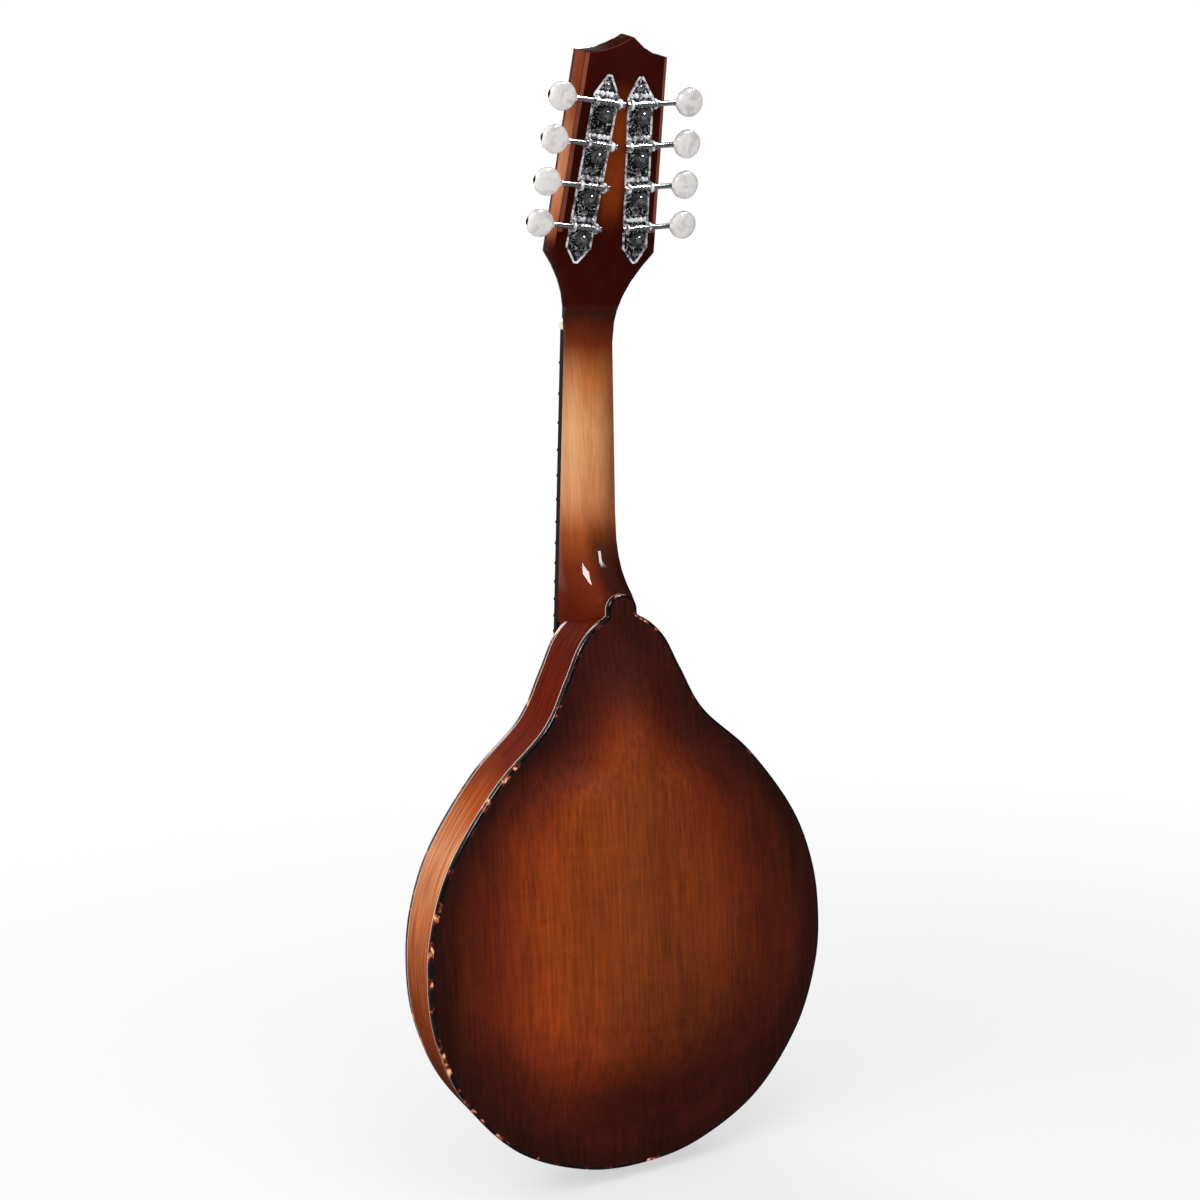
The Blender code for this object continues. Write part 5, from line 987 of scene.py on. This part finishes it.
for side, side_name in ((-1, "bass"), (1, "treble")):
    on_row = on_plate(side)
    plate = stamped_plate(f"plate_{side_name}", on_row)
    brackets = []
    for position in range(4):
        z = position * TUNER_SPACING
        for end in (-1, 1):
            brackets.append(ear_at(on_row, end * (PLATE_HALF - EAR_METAL / 2), z))
        brackets.append(beaded_bar("bracket_edge", on_row, z + BEAD_ROW))
    for piece in brackets:
        piece.data.materials.append(bright_finish.material)
    plate = joined(f"plate_{side_name}", plate, *brackets)
    fitted(plate, "instrument", "chrome", f"tuner_plate_{side_name}")
    screw_heights = [PLATE_HIGH - 0.0062, PLATE_LOW + 0.0058]
    screw_heights += [position * TUNER_SPACING + 0.0078 for position in range(3)]
    for number, z in enumerate(screw_heights):
        seat = on_row @ Matrix.Translation((0, PLATE_METAL - SCREW_SUNK, z))
        head = screw(f"plate_screw_{side_name}_{number + 1}", seat @ Matrix.Rotation(0.7 * number, 4, "Y"))
        dressed(head, metal_finish, "instrument", "chrome")

    for position in range(4):
        label = f"{side_name}_{position + 1}"
        z = position * TUNER_SPACING
        at_key = on_row @ Matrix.Translation((0, KEY_HEIGHT, z))
        key = key_shaft(f"worm_key_{label}", at_key, side)
        dressed(key, metal_finish, f"tuner_key_{label}", "steel", f"key_shaft_{label}")
        disc = button(f"button_{label}", at_key, side)
        fitted(disc, f"tuner_key_{label}", "pearl_button", f"tuner_button_{label}")
        post = string_post(label, on_row @ Matrix.Translation((0, 0, z - GEAR_DROP)), 0.5 + position)
        fitted(post, f"string_post_{label}", "brass", f"tuner_post_{label}")


# The bridge stands loose on the arch: a rosewood base with two threaded brass studs.
# A slotted saddle rides on two knurled thumbwheels that set its height.
rosewood_finish = Finish("rosewood", roughness=0.4)
grained(rosewood_finish, (0.08, 1, 1), 500, 4, (0.3, "1d0f0a"), (0.55, "3a1c10"), (0.75, "55301c"))
bridge_foot = faired("bridge_base", "bridge_foot", edge=0.0004)
dressed(bridge_foot, rosewood_finish, "instrument", "rosewood", "bridge_base")
saddle = faired("bridge_saddle", "saddle", edge=0.0002)
dressed(saddle, rosewood_finish, "saddle", "rosewood", "bridge_saddle")
brass_finish = Finish("brass", metallic=1.0, roughness=0.25)
grained(brass_finish, EVEN, 300, 2, (0.3, "a5823c"), (0.7, "d0ab5e"))
STUD_BORE, WHEEL_EASE, KNURLS, KNURL_DEPTH = 0.0024, 0.0004, 24, 0.00025
for side, side_name in ((-1, "bass"), (1, "treble")):
    low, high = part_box(f"bridge_thumbwheel_{side_name}")
    centre = (low + high) / 2
    reach = (high.x - low.x) / 2 - 0.0001
    thick = (high.y - low.y) / 2
    wheel_section = [
        (STUD_BORE, -thick), (reach - WHEEL_EASE, -thick), (reach, -thick + WHEEL_EASE),
        (reach, thick - WHEEL_EASE), (reach - WHEEL_EASE, thick), (STUD_BORE, thick), (STUD_BORE, -thick),
    ]

    def wheel_place(u, v, middle=centre, profile=wheel_section):
        radius, y = profile[round(v * 6)]
        if radius > STUD_BORE:
            radius -= KNURL_DEPTH * (1 - cos(2 * pi * u * KNURLS)) / 2
        return middle + Vector((radius * cos(2 * pi * u), y, radius * sin(2 * pi * u)))

    wheel = skinned(f"wheel_{side_name}", KNURLS * 6, 6, wheel_place, 40)
    dressed(wheel, brass_finish, f"wheel_{side_name}", "brass", f"bridge_thumbwheel_{side_name}")


# The tailpiece is a stamped and plated strip, bent over the end of the body and held by the end pin.
# Its hooks hold the strings' loops, under a hood that slides off towards the tail.
plated_finish = Finish("tail_plating", metallic=0.55)
polish = grained(plated_finish, (1, 1, 0.08), 320, 3, (0.3, "c6c8cc"), (0.7, "dfe0e3"))
plated_finish.put("Roughness", 0.2 + polish * 0.12)
tail_strip = faired("tailpiece", "tail_strip", edge=0.0003)
dressed(tail_strip, plated_finish, "instrument", "chrome", "tailpiece")
tail_hood = faired("tailpiece_cover", "tail_hood", edge=0.0006)
dressed(tail_hood, plated_finish, "cover", "chrome", "tailpiece_cover")
PIN_FLANGE, PIN_END = 0.0064, 0.0260
pin_profile = [
    (0.0, 0.0), (0.0048, 0.0), (0.0058, 0.0003), (0.0064, 0.0010), (0.0065, 0.0018), (0.0062, 0.0027),
    (0.0048, 0.0036), (0.0041, 0.0046), (0.0042, 0.0058), (0.0046, PIN_FLANGE), (0.0032, PIN_FLANGE),
    (0.0029, PIN_END), (0.0, PIN_END),
]
pin = lathed("pin_turned", pin_profile, lambda u, v, z: Vector((u, v, z)), 40)
dressed(pin, facing_finish, "instrument", "black_plastic", "end_pin")


# The strings run in four pairs from the tailpiece's hooks over saddle and nut to the posts.
# The two low pairs are steel wound with bronze, and the two high pairs are plain steel.
COURSES = (("g", 0.00100), ("d", 0.00066), ("a", 0.00040), ("e", 0.00030))
NUT_COURSE, NUT_PAIR, BRIDGE_COURSE, BRIDGE_PAIR = 0.00727, 0.0011, 0.0123, 0.00125
HOOK_PITCH, HOOK_BELOW, HOOK_PROUD = 0.0042, 0.010, 0.0016
SADDLE_HALF = 0.0015
NUT_FACES = (-0.0002, NUT_THICKNESS + 0.0008)
TAIL_RUN, TAIL_LIFT_LOW, TAIL_LIFT_HIGH = 0.074, 0.0032, 0.0180
COIL_TURNS, COIL_STEPS, COIL_LEVEL, COIL_GAP = 1.75, 24, 0.0085, 0.00045
CORE, LOOP_RADIUS, LOOP_STEPS, TWIST = 0.00018, 0.00145, 16, 0.003
tail_low = Vector((0, -HALF_DEPTH - TAIL_LIFT_LOW, BODY_TAIL))
tail_high = Vector((0, -HALF_DEPTH - TAIL_LIFT_HIGH, BODY_TAIL + TAIL_RUN))
tail_run = (tail_high - tail_low).normalized()
tail_out = Vector((0, -tail_run.z, tail_run.y))
FRET_HEIGHT, ACTION, OVER_NUT = 0.0011, 0.0019, 0.0015
OVER_TWELFTH = FRET_HEIGHT + ACTION
bridge_point = NECK_FRAME @ Vector((0, -(2 * OVER_TWELFTH - OVER_NUT), -SCALE_LENGTH))
steel_finish = Finish("plain_string", metallic=1.0, roughness=0.2)
grained(steel_finish, EVEN, 400, 2, (0.3, "a9abb0"), (0.7, "cfd1d5"))
wound_finish = Finish("wound_string", metallic=1.0, roughness=0.3)
wave_values = {"Vector": wound_finish.place(), "Scale": 900, "Distortion": 0.0}
winding = wound_finish.node("ShaderNodeTexWave", {"bands_direction": "Z"}, wave_values, 1)
wound_finish.put("Base Color", wound_finish.ramp(winding, ((0.1, "6b3d1e"), (0.7, "c88b55"))))


def hook_loop(index):
    """The string's loop about its hook, and the end of the twist above it."""
    hook_up = (tail_high - tail_low).length - HOOK_BELOW
    hook = tail_low + tail_run * hook_up + tail_out * HOOK_PROUD + Vector(((index - 3.5) * HOOK_PITCH, 0, 0))
    loop = []
    for step in range(LOOP_STEPS + 1):
        turn = 2 * pi * step / LOOP_STEPS
        loop.append(hook + (tail_run * cos(turn) + Vector((sin(turn), 0, 0))) * LOOP_RADIUS)
    return loop + [hook + tail_run * (LOOP_RADIUS + TWIST)]


def post_coil(side, number, diameter):
    """The string's turns about its post, climbing by its own thickness and a small gap."""
    centre = HEAD_FRAME.inverted() @ on_plate(side) @ Vector((0, 0, number * TUNER_SPACING - GEAR_DROP))
    level = -FACING_FRONT - COIL_LEVEL
    reach = POST_RADIUS + diameter / 2 + 2 * CLEARANCE
    coil = []
    for step in range(int(COIL_TURNS * COIL_STEPS) + 1):
        turn = pi - 2 * pi * step / COIL_STEPS
        climb = (diameter + COIL_GAP) * step / COIL_STEPS
        spot = (centre.x + side * reach * cos(turn), level + climb, centre.z + reach * sin(turn))
        coil.append(HEAD_FRAME @ Vector(spot))
    return coil


for index in range(8):
    name, diameter = COURSES[index // 2]
    label = f"{name}_{index % 2 + 1}"
    radius = diameter / 2
    course, pair = index // 2 - 1.5, index % 2 * 2 - 1
    at_nut = course * NUT_COURSE + pair * NUT_PAIR
    at_bridge = course * BRIDGE_COURSE + pair * BRIDGE_PAIR
    bridge_y = bridge_point.y - radius
    points = hook_loop(index)
    in_loop = len(points) - 1
    for z in (bridge_point.z - SADDLE_HALF, bridge_point.z + SADDLE_HALF):
        points.append(Vector((at_bridge, bridge_y, z)))
    for z in NUT_FACES:
        points.append(NECK_FRAME @ Vector((at_nut, -OVER_NUT - radius, z)))
    on_bass = index < 4
    points += post_coil(-1 if on_bass else 1, index if on_bass else 7 - index, diameter)
    wire = bpy.data.curves.new(f"wire_{label}", "CURVE")
    wire.dimensions = "3D"
    wire.bevel_depth = radius
    wire.bevel_resolution = 3
    wire.use_fill_caps = True
    spline = wire.splines.new("POLY")
    spline.points.add(len(points) - 1)
    for number, (bead, point) in enumerate(zip(spline.points, points)):
        bead.co = (*point, 1.0)
        bead.radius = min(CORE / radius, 1.0) if number < in_loop else 1.0
    string = bpy.data.objects.new(wire.name, wire)
    bpy.context.collection.objects.link(string)
    finish, slot = (wound_finish, "phosphor_bronze") if on_bass else (steel_finish, "steel")
    dressed(string, finish, "instrument", slot, f"string_{label}")
# The rod inside the neck is of the same plain steel.
coated(["truss_rod"], steel_finish)
